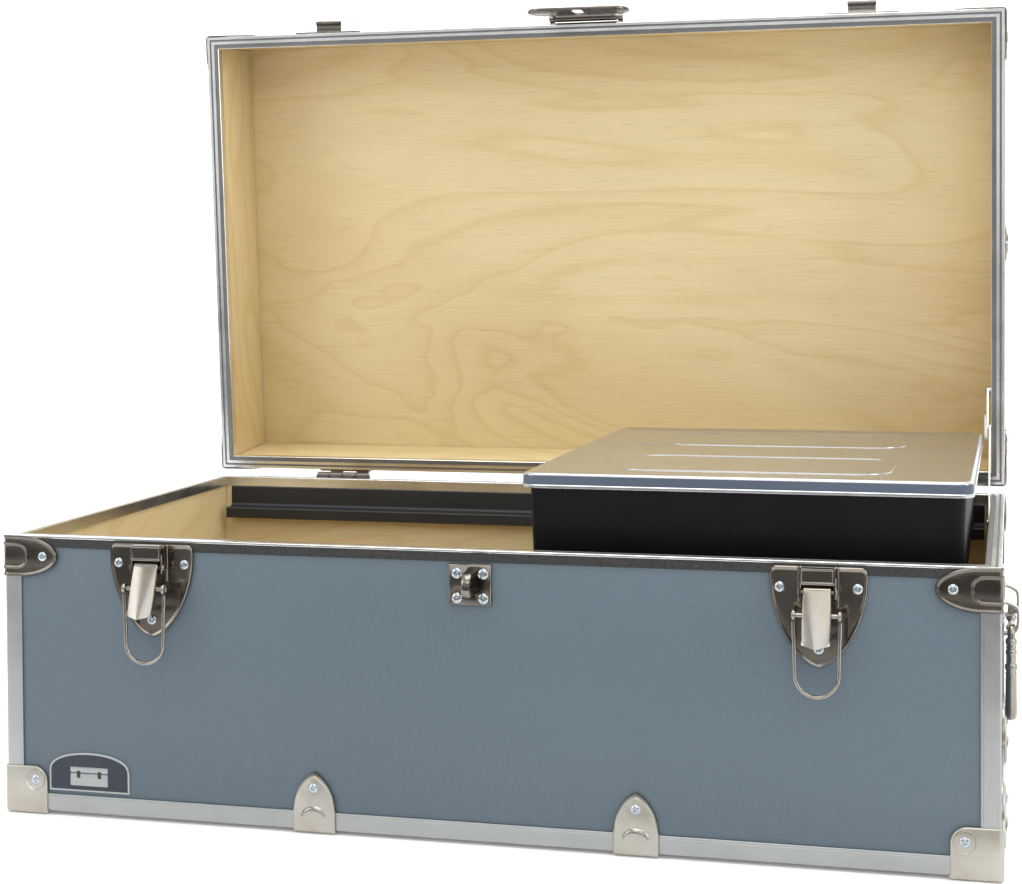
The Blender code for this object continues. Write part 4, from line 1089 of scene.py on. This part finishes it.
def make_tray():
    """The tray: a tapered tub with a rolled rim."""
    low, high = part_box("tray_box")
    wall, draft = 0.003, 0.003
    bm = bmesh.new()
    close(bm, box_rings(bm, low, high, 0.01, (
        (low.z, draft + 0.002), (low.z + 0.0008, draft + 0.0006), (low.z + 0.0025, draft),
        (high.z - 0.006, 0.0003), (high.z - 0.0055, 0.0), (high.z - 0.0006, 0.0),
        (high.z, 0.0006), (high.z, wall - 0.0006), (high.z - 0.0006, wall),
        (low.z + wall + 0.002, wall + draft), (low.z + wall, wall + draft + 0.002))))
    piece("tray_tub", bm, (TRAY_BLACK,), AS_DRAWN, "tray", ("tray_box",), 30.0)


def make_cover():
    """The tray's cover: a round-edged lid with a lipped skirt and beaded ribs on its top; the skirt's dark
    blue is a painted reflection.
    """
    low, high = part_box("tray_cover")
    r, top = 0.012, high.z - 0.0009
    bm = bmesh.new()
    stations = [(low.z + 0.0008, 0.0022), (low.z, 0.0016), (low.z, 0.0006), (low.z + 0.0008, 0.0),
                (low.z + 0.0022, 0.0), (low.z + 0.0028, 0.0006)]
    stations += [(top - 0.0028 + 0.0028 * sin(a), 0.0008 + 0.0028 * (1 - cos(a)))
                 for a in (radians(15 * n) for n in range(7))]
    stations += [(top, 0.009), (top - 0.0009, 0.0106), (top - 0.0009, 0.0125)]
    rings = box_rings(bm, low, high, r, stations)
    skin(bm, rings[:6])
    # the skirt takes the dark blue: a painted reflection
    skin(bm, rings[5:8], 1)
    skin(bm, rings[7:])
    cap(bm, rings[-1])
    under = box_rings(bm, low, high, r, (
        (low.z + 0.0008, 0.0022), (top - 0.0028, 0.0024), (top - 0.0028, 0.01)))
    skin(bm, under)
    cap(bm, under[-1][::-1])
    middle = (low + high) / 2
    bead = ((0, -0.6), (0.5, 0.55), (1.2, 0.85), (1.9, 0.55), (2.6, -0.1), (3.4, -0.35))
    ribs = bmesh.new()
    for across in (-0.108, 0.108):
        pad(ribs, rounded(0.222, 0.12, 0.028, (middle.x, middle.y + across), 8), bead)
    ribs.transform(shift((0, 0, top - 0.0009)))
    join(bm, ribs, 0)
    piece("tray_cover_moulding", bm, (SILVER_COVER, COVER_SKIRT_PAINTED_REFLECTION), AS_DRAWN, "tray_cover",
          ("tray_cover",), 30.0)


# ---- badge
def make_badge():
    """A plain arched plate with a bright border and a simple raised trunk, without lettering."""
    bm = bmesh.new()
    half, low = 0.0365, -0.0165
    outline = [(-half, low), (half, low)]
    outline += [(half * cos(a), 0.0165 * sin(a) ** 0.8) for a in (pi * n / 24 for n in range(25))]
    pad(bm, outline, ((0, -1.5), (0, -0.7), (0.3, -0.45), (1.3, -0.45)))
    pad(bm, inset(outline, 0.0016), ((0, -0.6), (0.15, -0.32), (0.5, -0.32)), 1)
    for tall, centre in ((0.0105, -0.0062), (0.0048, 0.002)):
        pad(bm, rounded(0.034, tall, 0.001, (0, centre)), ((0, -0.4), (0.2, -0.1), (0.5, 0.0)))
    for sign in BOTH:
        pad(bm, rounded(0.0034, 0.0062, 0.0006, (sign * 0.0095, -0.0018)), ((0, -0.2), (0.2, 0.2)), 1)
    bm.transform(on_wall(-0.3315, FOOT + 0.0345))
    piece("badge_plate", bm, (ALUMINIUM, BADGE_DARK), TRUNK, "trunk", (), 30.0)


# ---- studio and camera
def stage_plane(name, size, place, turn, colour, emission=0.0):
    bm = bmesh.new()
    bmesh.ops.create_grid(bm, x_segments=1, y_segments=1, size=0.5, matrix=Matrix.Diagonal((*size, 1, 1)))
    mesh = bpy.data.meshes.new(name)
    bm.to_mesh(mesh)
    bm.free()
    finish = Finish(name, colour, 0.55)
    finish.bump(finish.noise(40.0, 2.0), 0.0001)
    if emission:
        finish.put(finish.shader, {"Emission Color": (1.0, 1.0, 1.0), "Emission Strength": emission})
    mesh.materials.append(finish.material)
    obj = link(name, mesh)
    obj.location = place
    obj.rotation_euler = (radians(turn), 0, 0)
    return obj


def softbox(name, size, place, watts, colour=(1.0, 1.0, 1.0)):
    """A rectangular lamp that faces the middle of the trunk."""
    light = bpy.data.lights.new(name, "AREA")
    light.shape = "RECTANGLE"
    light.size, light.size_y = size
    light.energy = watts
    light.color = colour
    obj = link(name, light)
    obj.location = place
    obj.rotation_euler = (Vector((0.0, 0.0, 0.25)) - Vector(place)).to_track_quat("-Z", "Y").to_euler()


def make_studio():
    stage_plane("pale_floor", (40, 40), (0, 0, -0.0002), 0, (0.86, 0.86, 0.86), 0.12)
    stage_plane("white_backdrop", (24, 24), (0, 7.0, 6.0), 90, (0.9, 0.9, 0.9), 1.0)
    flag = stage_plane("dark_flag", (3.4, 2.6), (-0.35, -2.1, 0.001), 0, (0.035, 0.033, 0.03))
    flag.visible_camera = flag.visible_diffuse = flag.visible_shadow = False
    world = bpy.data.worlds.new("studio")
    bpy.context.scene.world = world
    world.use_nodes = True
    tree = world.node_tree
    sky = tree.nodes["Background"]
    sky.inputs["Strength"].default_value = 0.88
    split = tree.nodes.new("ShaderNodeSeparateXYZ")
    tree.links.new(tree.nodes.new("ShaderNodeTexCoord").outputs["Generated"], split.inputs["Vector"])
    ramp = tree.nodes.new("ShaderNodeValToRGB")
    tree.links.new(split.outputs["Z"], ramp.inputs["Fac"])
    tree.links.new(ramp.outputs["Color"], sky.inputs["Color"])
    dusk, noon = ramp.color_ramp.elements
    dusk.position, dusk.color = 0.0, (0.4, 0.39, 0.38, 1.0)
    noon.position, noon.color = 0.55, (0.96, 0.98, 1.0, 1.0)
    softbox("top_softbox", (3.0, 2.2), (0.3, -0.6, 3.0), 57.0, (1.0, 0.98, 0.95))
    softbox("front_softbox", (3.0, 1.4), (0.6, -3.4, 1.9), 18.0)
    softbox("left_softbox", (1.6, 2.2), (-2.7, -2.3, 1.5), 24.0)
    softbox("right_softbox", (1.2, 2.2), (3.2, -1.2, 1.5), 30.0, (1.0, 0.98, 0.96))


def make_camera():
    """A view from the front and a little from the right, just above the open lid's middle."""
    yaw, pitch, roll = radians(14.4188), radians(-1.5942), radians(-0.3406)
    ahead = Vector((-sin(yaw) * cos(pitch), cos(yaw) * cos(pitch), sin(pitch)))
    level = Vector((cos(yaw), sin(yaw), 0.0))
    upward = level.cross(ahead)
    right = level * cos(roll) + upward * sin(roll)
    up = upward * cos(roll) - level * sin(roll)
    data = bpy.data.cameras.new("camera")
    data.sensor_width, data.lens = 36.0, 67.94
    data.shift_x, data.shift_y = -0.0058, -0.1273
    camera = link("camera", data)
    turn = Matrix((right, up, -ahead)).transposed().to_4x4()
    camera.matrix_world = shift((0.4138, CASE_Y - 1.6853, FOOT + 0.4612)) @ turn
    bpy.context.scene.camera = camera


for make in (make_camera, make_studio, make_boards, make_rims, make_edging, make_rim_caps,
             make_corner_caps, make_clamps, make_latches, make_staple, make_hasp, make_hinges,
             make_stay, make_handles, make_rails, make_tray, make_cover, make_badge):
    make()
bpy.context.scene.view_settings.view_transform = "Standard"
